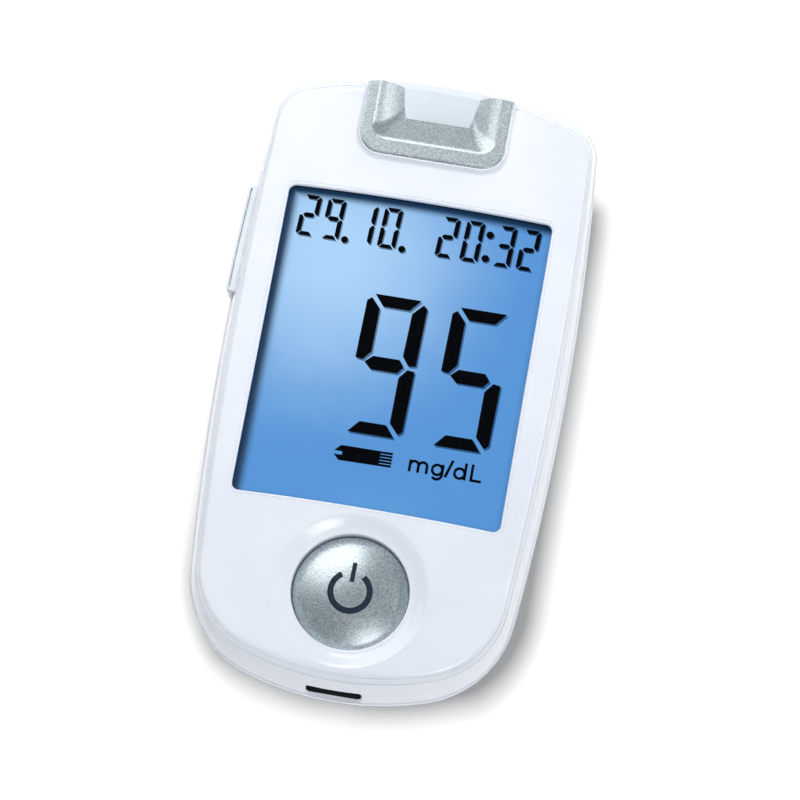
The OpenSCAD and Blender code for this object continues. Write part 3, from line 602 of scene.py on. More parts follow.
class Form:
    """A shape in millimetres that is drawn, cut and then turned into one piece."""

    def __init__(self, name: str) -> None:
        """Starts an empty shape."""
        self.name = name
        self.mesh = bmesh.new()

    def loft(self, rings: Sequence[Sequence[Sequence[float]]], caps: bool = True) -> Form:
        """Draws a skin through closed rings that all have the same number of points.

        Args:
            rings: Rings of points, from one end of the skin to the other.
            caps: Whether both ends are closed.

        Returns:
            The form itself.
        """
        made = bmesh.ops.create_circle(self.mesh, segments=len(rings[0]), radius=1.0)
        line = list(made["verts"])
        start = line
        for vertex, place in zip(line, rings[0]):
            vertex.co = place
        for ring in rings[1:]:
            edges = [self.mesh.edges.get((line[i - 1], line[i])) for i in range(len(line))]
            drawn = bmesh.ops.extrude_edge_only(self.mesh, edges=edges)["geom"]
            fresh = {item for item in drawn if isinstance(item, bmesh.types.BMVert)}
            line = [
                next(edge.other_vert(old) for edge in old.link_edges if edge.other_vert(old) in fresh)
                for old in line
            ]
            for vertex, place in zip(line, ring):
                vertex.co = place
        if caps:
            bmesh.ops.contextual_create(self.mesh, geom=start)
            bmesh.ops.contextual_create(self.mesh, geom=line)
        return self

    def plate(self, outline: Sequence[Point2], low: float, high: float) -> Form:
        """Draws an upright block on an outline."""
        return self.loft([[(x, y, z) for x, y in outline] for z in (low, high)])

    def spin(self, profile: Sequence[Point2], centre: Point2, steps: int = 128) -> Form:
        """Turns a profile of radius and height a full turn about an upright axis.

        Args:
            profile: Radii and heights, in order.
            centre: The axis, in plan.
            steps: How many steps the turn takes.

        Returns:
            The form itself.
        """
        turned = bmesh.new()
        first = bmesh.ops.create_vert(turned, co=(profile[0][0], 0.0, profile[0][1]))["vert"][0]
        last = first
        edges = []
        for radius, height in profile[1:]:
            made = bmesh.ops.extrude_vert_indiv(turned, verts=[last])
            last = made["verts"][0]
            last.co = (radius, 0.0, height)
            edges += made["edges"]
        bmesh.ops.spin(
            turned, geom=list(turned.verts) + edges, cent=(0, 0, 0), axis=(0, 0, 1), dvec=(0, 0, 0),
            angle=math.tau, steps=steps, use_merge=True,
        )
        bmesh.ops.remove_doubles(turned, verts=turned.verts, dist=0.0005)
        bmesh.ops.recalc_face_normals(turned, faces=turned.faces)
        bmesh.ops.translate(turned, verts=turned.verts, vec=(*centre, 0.0))
        self.take(turned)
        return self

    def block(self, low: Sequence[float], high: Sequence[float], round_off: float = 0.0) -> Form:
        """Draws a box between two corners, with its edges rounded off.

        Args:
            low: The corner with the lowest coordinates.
            high: The opposite corner.
            round_off: The radius of its edges.

        Returns:
            The form itself.
        """
        made = bmesh.new()
        bmesh.ops.create_cube(made, size=1.0)
        size = [end - start for start, end in zip(low, high)]
        middle = [(end + start) / 2.0 for start, end in zip(low, high)]
        bmesh.ops.scale(made, verts=made.verts, vec=size)
        bmesh.ops.translate(made, verts=made.verts, vec=middle)
        if round_off > 0.0:
            round_edges(made, made.edges, round_off, 3)
        self.take(made)
        return self

    def take(self, other: bmesh.types.BMesh) -> None:
        """Adds another mesh to the form and frees it.

        Args:
            other: The mesh to add.
        """
        buffer = bpy.data.meshes.new("buffer")
        other.to_mesh(buffer)
        other.free()
        self.mesh.from_mesh(buffer)
        bpy.data.meshes.remove(buffer)

    def tidy(self) -> Form:
        """Merges doubles and turns every face outwards.

        Returns:
            The form itself.
        """
        bmesh.ops.remove_doubles(self.mesh, verts=self.mesh.verts, dist=0.0008)
        bmesh.ops.dissolve_degenerate(self.mesh, edges=self.mesh.edges, dist=0.0008)
        bmesh.ops.recalc_face_normals(self.mesh, faces=self.mesh.faces)
        return self

    def carve(self, *cutters: Form) -> Form:
        """Cuts other forms out of this one.

        Args:
            *cutters: The forms to cut away.

        Returns:
            The form itself.
        """
        target = self._stand_in(self)
        helpers = [self._stand_in(cutter) for cutter in cutters]
        for helper in helpers:
            cut = target.modifiers.new("cut", "BOOLEAN")
            cut.operation = "DIFFERENCE"
            cut.solver = "EXACT"
            cut.object = helper
        graph = bpy.context.evaluated_depsgraph_get()
        result = bpy.data.meshes.new_from_object(target.evaluated_get(graph))
        self.mesh.clear()
        self.mesh.from_mesh(result)
        bpy.data.meshes.remove(result)
        for used in [target, *helpers]:
            mesh = used.data
            bpy.data.objects.remove(used)
            bpy.data.meshes.remove(mesh)
        return self

    @staticmethod
    def _stand_in(form: Form) -> bpy.types.Object:
        """Makes a plain object with a form's shape, for one cut.

        Args:
            form: The form to copy.

        Returns:
            The object.
        """
        bmesh.ops.recalc_face_normals(form.mesh, faces=form.mesh.faces)
        mesh = bpy.data.meshes.new(form.name)
        form.mesh.to_mesh(mesh)
        made = bpy.data.objects.new(form.name, mesh)
        bpy.context.scene.collection.objects.link(made)
        return made

    def piece(
        self,
        body: str,
        slot: str,
        finish: Finish,
        replaces: Sequence[str] = (),
        crease: float = 30.0,
    ) -> bpy.types.Object:
        """Turns the form into a piece of the model.

        Args:
            body: The body that the piece moves with.
            slot: The record's material slot. It is not used.
            finish: Its finish.
            replaces: The frame's nodes that it stands for.
            crease: The angle, in degrees, from which an edge is sharp.

        Returns:
            The new object.
        """
        bmesh.ops.scale(self.mesh, verts=self.mesh.verts, vec=(MM, MM, MM))
        limit = math.radians(crease)
        for edge in self.mesh.edges:
            edge.smooth = len(edge.link_faces) == 2 and edge.calc_face_angle(0.0) < limit
        for face in self.mesh.faces:
            face.smooth = True
        mesh = bpy.data.meshes.new(self.name)
        self.mesh.to_mesh(mesh)
        self.mesh.free()
        mesh.materials.append(finish.material())
        made = bpy.data.objects.new(self.name, mesh)
        bpy.context.scene.collection.objects.link(made)
        weighted = made.modifiers.new("weighted", "WEIGHTED_NORMAL")
        weighted.keep_sharp = True
        weighted.weight = 60
        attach(made, body)
        if replaces:
            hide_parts(*replaces)
        LOG.info("%s: %d faces", self.name, len(mesh.polygons))
        return made


def node_form(frame: dict, node: str, name: str) -> Form:
    """Copies a node's mesh into a form, merged and with its flat faces joined.

    Args:
        frame: The loaded frame.
        node: The node to copy.
        name: The form's name.

    Returns:
        The form, in millimetres.
    """
    form = Form(name)
    form.mesh.from_mesh(frame["nodes"][node].data)
    bmesh.ops.scale(form.mesh, verts=form.mesh.verts, vec=(1 / MM, 1 / MM, 1 / MM))
    bmesh.ops.remove_doubles(form.mesh, verts=form.mesh.verts, dist=0.002)
    flat = math.radians(0.3)
    bmesh.ops.dissolve_limit(
        form.mesh, angle_limit=flat, verts=form.mesh.verts, edges=form.mesh.edges, delimit={"NORMAL"}
    )
    return form


# ---- Outlines -----------------------------------------------------------------------------


def meeting(first: Vector, first_radius: float, second: Vector, second_radius: float) -> Vector:
    """Returns where two circles meet, left of the way from the first to the second.

    Args:
        first: The first circle's centre.
        first_radius: Its radius.
        second: The second circle's centre.
        second_radius: Its radius.

    Returns:
        The meeting point.
    """
    way = second - first
    gap = way.length
    along = (first_radius**2 - second_radius**2 + gap**2) / (2.0 * gap)
    aside = math.sqrt(max(0.0, first_radius**2 - along**2))
    return first + way * (along / gap) + Vector((-way.y, way.x)) * (aside / gap)


def arc(centre: Sequence[float], radius: float, start: float, end: float, steps: int) -> list[Point2]:
    """Returns points of an arc without its last one. Angles are in degrees."""
    turns = [math.radians(mix(start, end, i / steps)) for i in range(steps)]
    return [(centre[0] + radius * math.cos(a), centre[1] + radius * math.sin(a)) for a in turns]


def mirrored(half: list[Point2]) -> list[Point2]:
    """Completes the right half of an outline, which runs from the foot to the top."""
    return half + [(-x, y) for x, y in reversed(half[1:-1])]


@dataclass(frozen=True)
class Outline:
    """A housing outline of tangent arcs that is symmetric across X = 0.

    The sides, the top end and the foot are wide arcs, named by their radii side, top and foot.
    They reach out to half_width (at Y = widest), top_end and foot_end. Corner arcs join them.
    """

    half_width: float
    widest: float
    side: float
    top_end: float
    top: float
    foot_end: float
    foot: float
    top_corner: float
    foot_corner: float

    def toward(self, other: Outline, share: float) -> Outline:
        """Returns the outline that lies share of the way to another one."""
        names = self.__dataclass_fields__
        return Outline(*[mix(getattr(self, key), getattr(other, key), share) for key in names])

    def points(self, inset: float, steps: Sequence[int] = (18, 27, 27, 24, 15)) -> list[Point2]:
        """Returns the outline's points, moved inwards.

        Args:
            inset: How far the points lie inside the outline.
            steps: Steps of the foot, foot corner, side, top corner and top.

        Returns:
            Points anticlockwise from the middle of the foot.
        """
        side = Vector((self.half_width - self.side, self.widest))
        top = Vector((0.0, self.top_end - self.top))
        foot = Vector((0.0, self.foot - self.foot_end))
        high = meeting(side, self.side - self.top_corner, top, self.top - self.top_corner)
        low = meeting(foot, self.foot - self.foot_corner, side, self.side - self.foot_corner)

        def angle(centre: Vector, place: Vector) -> float:
            """Returns the direction from centre to place, in degrees."""
            return math.degrees(math.atan2(place.y - centre.y, place.x - centre.x))

        turns = [-90.0, angle(foot, low), angle(side, low), angle(side, high), angle(top, high), 90.0]
        arcs = [
            (foot, self.foot), (low, self.foot_corner), (side, self.side),
            (high, self.top_corner), (top, self.top),
        ]
        half: list[Point2] = []
        for i, (centre, radius) in enumerate(arcs):
            half += arc(centre, radius - inset, turns[i], turns[i + 1], steps[i])
        return mirrored(half + [(0.0, self.top_end - inset)])


WIDE = Outline(30.0, 7.0, 460.0, 55.5, 89.5, 55.5, 50.5, 7.4, 17.9)
FACE = Outline(27.65, 14.2, 672.0, 51.7, 77.0, 51.65, 52.5, 6.3, 14.3)


def ring(turn: float, inset: float, height: float) -> Ring:
    """Returns a ring of the housing.

    Args:
        turn: How far it has turned from the widest outline to the face's.
        inset: How far it lies inside that outline.
        height: Its height.

    Returns:
        The ring's points.
    """
    return [(x, y, height) for x, y in WIDE.toward(FACE, turn).points(inset)]


def round_rect(width: float, length: float, radius: float, centre: Point2) -> list[Point2]:
    """Returns a rounded rectangle, anticlockwise.

    Args:
        width: Its size across.
        length: Its size along.
        radius: The radius of its corners.
        centre: Its middle.

    Returns:
        Its points.
    """
    points: list[Point2] = []
    for number, (side, end) in enumerate(((1, 1), (-1, 1), (-1, -1), (1, -1))):
        middle = (centre[0] + side * (width / 2 - radius), centre[1] + end * (length / 2 - radius))
        first = 90.0 * number
        points += arc(middle, radius, first, first + 90.0, 10)
        last = math.radians(first + 90.0)
        points.append((middle[0] + radius * math.cos(last), middle[1] + radius * math.sin(last)))
    return points


def quarter(inset: float, drop: float, top: float, steps: int) -> list[Point2]:
    """Returns the insets and heights of a rounded upper edge, just past its foot to its top.

    Args:
        inset: How far it reaches inwards.
        drop: How far it reaches down.
        top: The height of its top.
        steps: How many pairs it has.

    Returns:
        Pairs of inset and height.
    """
    turns = [math.radians(90.0 * i / steps) for i in range(1, steps + 1)]
    return [(inset * (1 - math.cos(turn)), top - drop * (1 - math.sin(turn))) for turn in turns]


# ---- Sub-assemblies -----------------------------------------------------------------------

# Heights: the face, the underside of its plate, the line where the shells part, the display.
FACE_Z = 21.0
CEILING = 19.4
PARTING = 13.6
GLASS_TOP = 18.75
DIGIT_Z = GLASS_TOP + 0.012
WALL = 1.8
# The button's middle, and the radii of its hole and of its dish.
BUTTON = (0.0, -37.75)
HOLE = 9.95
DISH = 13.35
# The display's opening: its size, its middle, its corners and how far its ends bow.
WINDOW_SIZE = (45.9, 55.0)
WINDOW_Y = 3.6
WINDOW_CORNER = 1.3
WINDOW_BOW = 0.5
# The strip port's trim: its underside, half its width, its start and end along Y, its corners.
PORT_BOTTOM = 16.6
PORT_HALF = 12.75
PORT_START = 38.65
PORT_END = 52.6
PORT_CORNER = 4.0


def window_outline(grow: float, steps: int = 12) -> list[Point2]:
    """Returns the display opening's outline: both its ends bow towards the port.

    Args:
        grow: How far it is grown.
        steps: Steps of each side and each corner.

    Returns:
        Its points, anticlockwise from the middle of its foot.
    """
    width = WINDOW_SIZE[0] / 2 + grow
    length = WINDOW_SIZE[1] / 2 + grow
    radius = WINDOW_CORNER + grow
    flat = [((width - radius) * i / steps, -length) for i in range(steps)]
    foot = arc((width - radius, radius - length), radius, -90.0, 0.0, steps)
    head = arc((width - radius, length - radius), radius, 0.0, 90.0, steps)
    half = flat + foot + [(width, radius - length)] + head + [(x, length) for x, _ in reversed(flat)]
    return [
        (x, y + WINDOW_Y + WINDOW_BOW * (1.0 - (x / width) ** 2)) for x, y in mirrored(half)
    ]


@dataclass
class FrontHousing:
    """The white front shell, with its openings, the port's collar and the data socket's sleeve."""

    wall_steps: int = 7
    round_steps: int = 8
    dish_steps: int = 22
    wall_low: float = 15.1
    wall_high: float = 19.4
    wall_belly: float = 0.26
    wall_hollow: float = 0.12
    window_flare: float = 0.3
    dish_floor: float = 19.9
    dish_rise: float = 1.13
    socket_half: float = 4.7
    socket_low: float = 14.85
    socket_high: float = 16.95
    socket_corner: Point2 = (0.5, 0.45)
    foot_y: float = -55.0
    foot_lean: float = 0.34
    lean_from: float = 14.95
    collar_end: float = 51.3
    cup_floor: float = 17.3
    cup_top: float = 19.6

    def outer_rings(self) -> list[Ring]:
        """Returns the rings of the outer skin, from the parting line up to the face.

        Returns:
            Rings of equal length.
        """
        edge = [(0, 0.2, PARTING), (0, 0.06, PARTING + 0.06), (0, 0, PARTING + 0.2)]
        step = [
            (0, 0, 14.3), (0, 0.03, 14.42), (0, 0.1, 14.5), (0, 0.2, 14.55), (0, 0.27, 14.61),
            (0, 0.3, 14.75),
        ]
        wall = []
        for i in range(self.wall_steps + 1):
            share = i / self.wall_steps
            hollow = self.wall_hollow * (1.0 - (2.0 * share - 1.0) ** 2)
            belly = mix(self.wall_belly, 0.0, share) - hollow
            wall.append((mix(0.06, 0.588, share), belly, mix(self.wall_low, self.wall_high, share)))
        groove = [
            (0.592, 0, 19.48), (0.602, 0, 19.55), (0.62, 0, 19.6), (0.638, 0, 19.62), (0.644, 0, 19.59),
            (0.656, 0, 19.6), (0.664, 0, 19.78),
        ]
        slope = [(0.70, 0, 19.925), (0.81, 0, 20.28), (0.85, 0, 20.4), (0.857, 0, 20.34), (0.89, 0, 20.36)]
        rim = []
        for i in range(self.round_steps + 1):
            share = i / self.round_steps
            rim.append((bent(0.912, 1.0, 1.2, share), 0, bent(20.56, 20.96, FACE_Z, share)))
        return [ring(*level) for level in edge + step + wall + groove + slope + rim]

    def hollow(self) -> Form:
        """Returns the space inside the shell."""
        levels = ((0, 0.85, PARTING - 1), (0, 0.85, 14.6), (0, WALL, 14.6), (0.2, WALL, 17.0))
        return Form("hollow").loft([ring(*level) for level in (*levels, (0.43, WALL, CEILING))])

    def window(self) -> Form:
        """Returns the display's opening, with a rounded bead and a groove round it.

        Returns:
            The form to cut away.
        """
        bead = FACE_Z - 0.03
        flare = self.window_flare
        levels = [(0.0, CEILING - 1.0), (0.0, bead - flare), *quarter(flare, flare, bead, 6)]
        levels += [(flare + 0.13, bead - 0.01), (flare + 0.19, bead - 0.08)]
        levels += [(flare + 0.26, bead - 0.08), (flare + 0.33, FACE_Z + 0.03)]
        levels.append((flare + 0.6, FACE_Z + 0.2))
        rings = [[(x, y, height) for x, y in window_outline(grow)] for grow, height in levels]
        return Form("window_opening").loft(rings)

    def lens_pocket(self) -> Form:
        """Returns the pocket behind the face that the clear window sits in."""
        plan = round_rect(48.6, 57.65, 1.0, (0.0, 3.975))
        return Form("lens_pocket").plate(plan, CEILING - 1.0, 20.2)

    def dish(self) -> Form:
        """Returns the button's dish and hole: level at the hole and rounded at the rim.

        Returns:
            The form to cut away.
        """
        start, end, bottom = HOLE + 0.45, DISH + 0.28, CEILING - 3.0
        profile = [(0.0, bottom), (HOLE, bottom), (HOLE, 19.72), (HOLE + 0.06, 19.84)]
        profile.append((HOLE + 0.2, self.dish_floor))
        for i in range(self.dish_steps + 1):
            share = i / self.dish_steps
            profile.append((mix(start, end, share), self.dish_floor + self.dish_rise * smooth(share)))
        profile += [(end + 0.5, FACE_Z + 0.6), (0.0, FACE_Z + 0.6)]
        return Form("dish_opening").spin(profile, BUTTON, 160)

    def socket_ring(self, grow: float, depth: float) -> Ring:
        """Returns a ring of the data socket's slot, an oblong with slanted corners.

        Args:
            grow: How far the slot is grown.
            depth: How deep in the wall the ring lies.

        Returns:
            The ring, which follows the wall's lean and the foot's bow.
        """
        half, low, high = self.socket_half + grow, self.socket_low - grow, self.socket_high + grow
        across, up = self.socket_corner
        right = [(half - across, low), (half, low + up), (half, high - up), (half - across, high)]
        left = [(-x, z) for x, z in reversed(right)]
        section = [left[-2], left[-1], *right, *left[:-2]]
        start = depth + self.foot_y
        return [
            (x, start + self.foot_lean * (z - self.lean_from) + x * x / (2 * WIDE.foot), z)
            for x, z in section
        ]

    def socket(self) -> Form:
        """Returns the data socket's slot, with a flare at its mouth."""
        levels = ((0.6, -1.0), (0.28, -0.1), (0.0, 0.22), (0.0, 5.0))
        return Form("socket_opening").loft([self.socket_ring(*level) for level in levels])

    def socket_liner(self) -> bpy.types.Object:
        """Draws the black sleeve inside the data socket's slot; its black also stands in as painted shade for
        the slot's dark inside.

        Returns:
            The piece.
        """
        levels = ((0.12, 0.24), (-0.06, 0.22), (-0.06, 2.4), (0.12, 2.4), (0.12, 0.24))
        form = Form("socket_liner").loft([self.socket_ring(*level) for level in levels], caps=False)
        return form.tidy().piece("case", "liner_black", LINER, ["usb_port_liner"])

    def collar(self) -> bpy.types.Object:
        """Draws the small white slope that leads from the face up to the port trim.

        Returns:
            The piece.
        """
        half, corner, start, end = PORT_HALF, PORT_CORNER, PORT_START, self.collar_end
        path = [((-half, mix(end, start + corner, i / 8)), (-1.0, 0.0)) for i in range(8)]
        for side, turns, last in ((-1, (180.0, 270.0), (0.0, -1.0)), (1, (270.0, 360.0), (1.0, 0.0))):
            middle = (side * (half - corner), start + corner)
            for way in [*arc((0.0, 0.0), 1.0, *turns, 10), last]:
                path.append(((middle[0] + corner * way[0], middle[1] + corner * way[1]), way))
        path += [((half, mix(start + corner, end, i / 8)), (1.0, 0.0)) for i in range(1, 9)]
        slope = [(bent(0.95, 0.3, 0.16, i / 8), bent(FACE_Z - 0.02, 21.05, 21.95, i / 8)) for i in range(9)]
        slope += [(0.1, 22.0), (-0.1, 21.95), (-0.1, FACE_Z - 0.1), (0.95, FACE_Z - 0.1)]
        rings = []
        for (x, y), way in path:
            share = smooth((end + 0.4 - y) / 2.2)
            rings.append([(x + way[0] * g * share, y + way[1] * g * share, z) for g, z in slope])
        return Form("port_collar").loft(rings).tidy().piece("case", "housing_white", WHITE)

    def build(self) -> bpy.types.Object:
        """Draws the shell, cuts its openings and adds the cup under the button.

        Returns:
            The shell.
        """
        shell = Form("front_shell").loft(self.outer_rings())
        port = Form("port_opening").plate(port_outline(-0.1), PORT_BOTTOM, 24.0)
        port_end = Form("port_end").block((-12.85, 48.6, 18.2), (12.85, 60.6, 26.2))
        rocker = Form("rocker_opening").block((-33.0, 11.0, 11.6), (-26.2, 31.4, 17.0), 0.3)
        shell.carve(
            self.hollow(), self.lens_pocket(), self.window(), self.dish(), port, port_end, rocker,
            self.socket(),
        )
        shell.tidy()
        inside = HOLE + 0.02
        cup = [
            (inside, self.cup_floor), (11.4, self.cup_floor), (11.7, 19.0), (13.95, 19.4),
            (13.95, self.cup_top), (inside, self.cup_top), (inside, self.cup_floor),
        ]
        shell.spin(cup, BUTTON)
        self.collar()
        self.socket_liner()
        return shell.piece("case", "housing_white", WHITE, ["front_housing"], 32.0)


def port_end_y(x: float, inset: float) -> float:
    """Returns where the port's end lies at x, on the arc of the housing's end."""
    radius = WIDE.top
    return PORT_END - radius + math.sqrt((radius - inset) ** 2 - x * x)


def port_outline(inset: float, steps: int = 12) -> list[Point2]:
    """Returns the port trim's outline: round corners at its start, a gentle arc at its end.

    Args:
        inset: How far it lies inside the trim.
        steps: Steps of each corner and of half its end.

    Returns:
        Its points, anticlockwise from the middle of its start.
    """
    width = PORT_HALF - inset
    turn = PORT_START + PORT_CORNER
    points = [(0.0, PORT_START + inset)]
    points += arc((PORT_HALF - PORT_CORNER, turn), PORT_CORNER - inset, -90.0, 0.0, steps)
    points.append((width, turn))
    for i in range(steps):
        x = width * (1 - i / steps)
        points.append((x, port_end_y(x, inset)))
    return mirrored(points + [(0.0, PORT_END - inset)])


@dataclass
class StripPort:
    """The silver trim round the strip port, a funnel with rounded side walls, and its pale panel."""

    top: float = 22.2
    floor: float = 18.7
    half: float = 10.8
    start: float = 41.5
    lip: float = 0.45
    lip_depth: float = 0.3
    slope: float = 2.4 / 4.95
    edge: float = 0.4
    slot_half: float = 5.65
    panel_half: float = 7.1
    panel_start: float = 44.5
    panel_flare: float = 0.187

    def outer(self) -> Form:
        """Returns the trim's block, with its upper edge rounded over.

        Returns:
            The form, named as the trim that is cut from it.
        """
        levels = [(0.0, PORT_BOTTOM), (0.0, self.top - self.edge)]
        levels += quarter(self.edge, self.edge, self.top, 5)
        rings = [[(x, y, height) for x, y in port_outline(inset, 24)] for inset, height in levels]
        return Form("port_trim").loft(rings)

    def wall_start(self, depth: float) -> float:
        """Returns where the funnel's sloping wall starts, rounded over to a lip at the rim.

        Args:
            depth: The depth below the rim.

        Returns:
            Its place along Y.
        """
        if depth > self.lip_depth:
            return self.start + depth / self.slope
        reach = self.lip + self.lip_depth / self.slope
        return self.start - self.lip + reach * math.sqrt(depth / self.lip_depth)

    def plan(self, share: float, height: float, depth: float) -> Ring:
        """Returns one ring of the funnel.

        Args:
            share: How far its side walls have come in, 0 at the rim and 1 at the floor.
            height: Its height.
            depth: The depth of its sloping wall.

        Returns:
            The ring.
        """
        foot_half = self.slot_half + 2.27 * self.panel_flare
        end_half = 6.8 + 3 * self.panel_flare
        half, corner = mix(self.half, foot_half, share), mix(2.6, 0.3, share)
        start = self.wall_start(depth)
        points = [(0.0, start)]
        points += arc((half - corner, start + corner), corner, -90.0, 0.0, 10)
        points += [(half, start + corner), (mix(self.half, end_half, share), 55.6), (0.0, 55.6)]
        return [(x, y, height) for x, y in mirrored(points)]

    def funnel(self) -> Form:
        """Returns the funnel that is cut from the block.

        Returns:
            The form to cut away.
        """
        steps = 22
        depth = self.top - self.floor
        rings = [self.plan(1.0, self.floor - 0.6, depth)]
        for i in range(steps, -1, -1):
            part = i / steps
            share = part * part * (2.0 - part)
            below = depth * (share * (0.36 + 0.64 * share) - 0.06 * math.exp(-14.0 * share) + 0.06)
            rings.append(self.plan(share, self.top + 0.01 - below / 1.06, below / 1.06))
        rings.append(self.plan(0.0, self.top + 1.0, 0.0))
        return Form("trim_funnel").loft(rings)

    def panel(self) -> bpy.types.Object:
        """Draws the pale panel on the port's floor, with a soft upper edge.

        Returns:
            The piece.
        """
        half = self.panel_half
        outline = [(-half, self.panel_start), (half, self.panel_start)]
        for i in range(13):
            x = half * (1 - i / 6)
            outline.append((x, port_end_y(x, 0.0)))
        form = Form("strip_panel").plate(outline, 16.65, self.floor)
        upper = [edge for edge in form.mesh.edges if min(v.co.z for v in edge.verts) > self.floor - 0.01]
        round_edges(form.mesh, upper, 0.18, 4)
        return form.piece("case", "panel_pale", PANEL, ["strip_port_panel"])

    def build(self) -> bpy.types.Object:
        """Cuts the funnel, the panel's pocket and the strip's way from the trim.

        Returns:
            The trim.
        """
        trim = self.outer()
        pocket = Form("trim_pocket").block((-7.2, 39.2, 15.6), (7.2, 59.2, self.floor + 0.05))
        hollow = Form("trim_hollow").block((-6.9, 39.3, 17.7), (6.9, 44.4, 20.2))
        right = [(self.slot_half, 43.7), (self.slot_half, 46.45), (6.11, 48.92)]
        way = Form("strip_way").plate(right + [(-x, y) for x, y in reversed(right)], 18.2, 19.8)
        trim.carve(self.funnel(), pocket, hollow, way)
        trim.tidy()
        self.panel()
        return trim.piece("case", "silver_paint", SILVER, ["strip_port_trim"], 34.0)


@dataclass
class RearParts:
    """The rear shell and the battery door: the frame's own shapes with smooth skins."""

    frame: dict

    def build(self) -> list[bpy.types.Object]:
        """Draws both.

        Returns:
            The two pieces.
        """
        parts = (("rear_housing", "rear_shell", "case"), ("battery_door", "door_plate", "door"))
        return [
            node_form(self.frame, node, name).piece(body, "housing_white", WHITE, [node], 36.0)
            for node, name, body in parts
        ]


@dataclass
class PowerButton:
    """The domed silver button with its power symbol."""

    radius: float = 9.8
    rim: float = 18.0
    crown: float = 20.3
    shoulder: float = 9.45
    shoulder_turn: float = 24.0
    shoulder_drop: float = 0.42
    flange: float = 10.9
    flange_top: float = 17.2
    flange_bottom: float = 16.45
    flange_flat: float = 9.8
    hollow: float = 8.8
    hollow_top: float = 17.5
    stem: float = 1.6
    stem_bottom: float = 16.65
    dome_steps: int = 26
    symbol_radius: float = 3.3
    symbol_gap: float = 34.0
    bar: Point2 = (1.63, 5.07)

    def dome_height(self, distance: float) -> float:
        """Returns the dome's height.

        Args:
            distance: How far it lies from the dome's middle.

        Returns:
            The height.
        """
        rise = self.crown - self.rim
        ball = (self.radius**2 + rise**2) / (2.0 * rise)
        return self.crown - ball + math.sqrt(max(0.0, ball**2 - distance**2))

    def cap(self) -> bpy.types.Object:
        """Draws the cap: a dome with a rounded shoulder, a flange, and a stem in its hollow.

        Returns:
            The piece.
        """
        profile = [(0.0, self.crown)]
        for i in range(1, self.dome_steps + 1):
            distance = self.shoulder * i / self.dome_steps
            profile.append((distance, self.dome_height(distance)))
        edge = self.dome_height(self.shoulder)
        first = math.radians(self.shoulder_turn)
        for i in range(1, 7):
            turn = math.radians((90.0 - self.shoulder_turn) * i / 6 + self.shoulder_turn)
            # The roll spans 0.35 mm; 0.593 is how much the sine grows over it.
            out = 0.35 * (math.sin(turn) - math.sin(first)) / 0.593
            drop = self.shoulder_drop * (math.cos(first) - math.cos(turn))
            profile.append((self.shoulder + out, edge - drop))
        profile += [(self.radius, self.flange_top), (self.flange, self.flange_top)]
        profile += [(self.flange, self.flange_bottom), (self.hollow, self.flange_bottom)]
        profile += [(self.hollow, self.hollow_top), (self.stem, self.hollow_top)]
        profile += [(self.stem, self.stem_bottom), (0.0, self.stem_bottom)]
        form = Form("power_button_cap").spin(profile, BUTTON, 128)
        form.carve(Form("flange_flat").block((-14, -60, 15), (14, BUTTON[1] - self.flange_flat, 17.3)))
        return form.piece("button", "silver_paint", SILVER, ["power_button"], 38.0)

    def symbol(self) -> bpy.types.Object:
        """Draws the power symbol, a ring open at the top with a bar in the gap, on the dome.

        Returns:
            The piece.
        """
        form = Form("power_symbol")
        gap = self.symbol_gap
        turns = [math.radians(90.0 + gap + (360.0 - 2.0 * gap) * i / 48) for i in range(49)]
        radius = self.symbol_radius
        self._band(form, [(radius * math.cos(a), radius * math.sin(a)) for a in turns], 1.02)
        self._band(form, [(0.0, mix(*self.bar, i / 10)) for i in range(11)], 0.76)
        return form.piece("button", "liner_black", SYMBOL)

    def _band(self, form: Form, line: list[Point2], stroke: float) -> None:
        """Lays a band of print along a line on the dome.

        Args:
            form: The form to draw in.
            line: Points of the line, about the dome's middle.
            stroke: The band's width.
        """
        rings = []
        for i, (x, y) in enumerate(line):
            before, after = line[max(0, i - 1)], line[min(len(line) - 1, i + 1)]
            way = Vector((after[0] - before[0], after[1] - before[1])).normalized()
            aside = Vector((-way.y, way.x)) * (stroke / 2.0)
            section = []
            for share in (0.0, 0.25, 0.5, 0.75, 1.0):
                across, along = mix(x + aside.x, x - aside.x, share), mix(y + aside.y, y - aside.y, share)
                section.append((across, along, self.dome_height(math.hypot(across, along)) + 0.015))
            under = [(x, y, z - 0.03) for x, y, z in reversed(section)]
            rings.append([(x, y + BUTTON[1], z) for x, y, z in section + under])
        form.loft(rings).tidy()

    def build(self) -> list[bpy.types.Object]:
        """Builds the cap and its symbol."""
        return [self.cap(), self.symbol()]


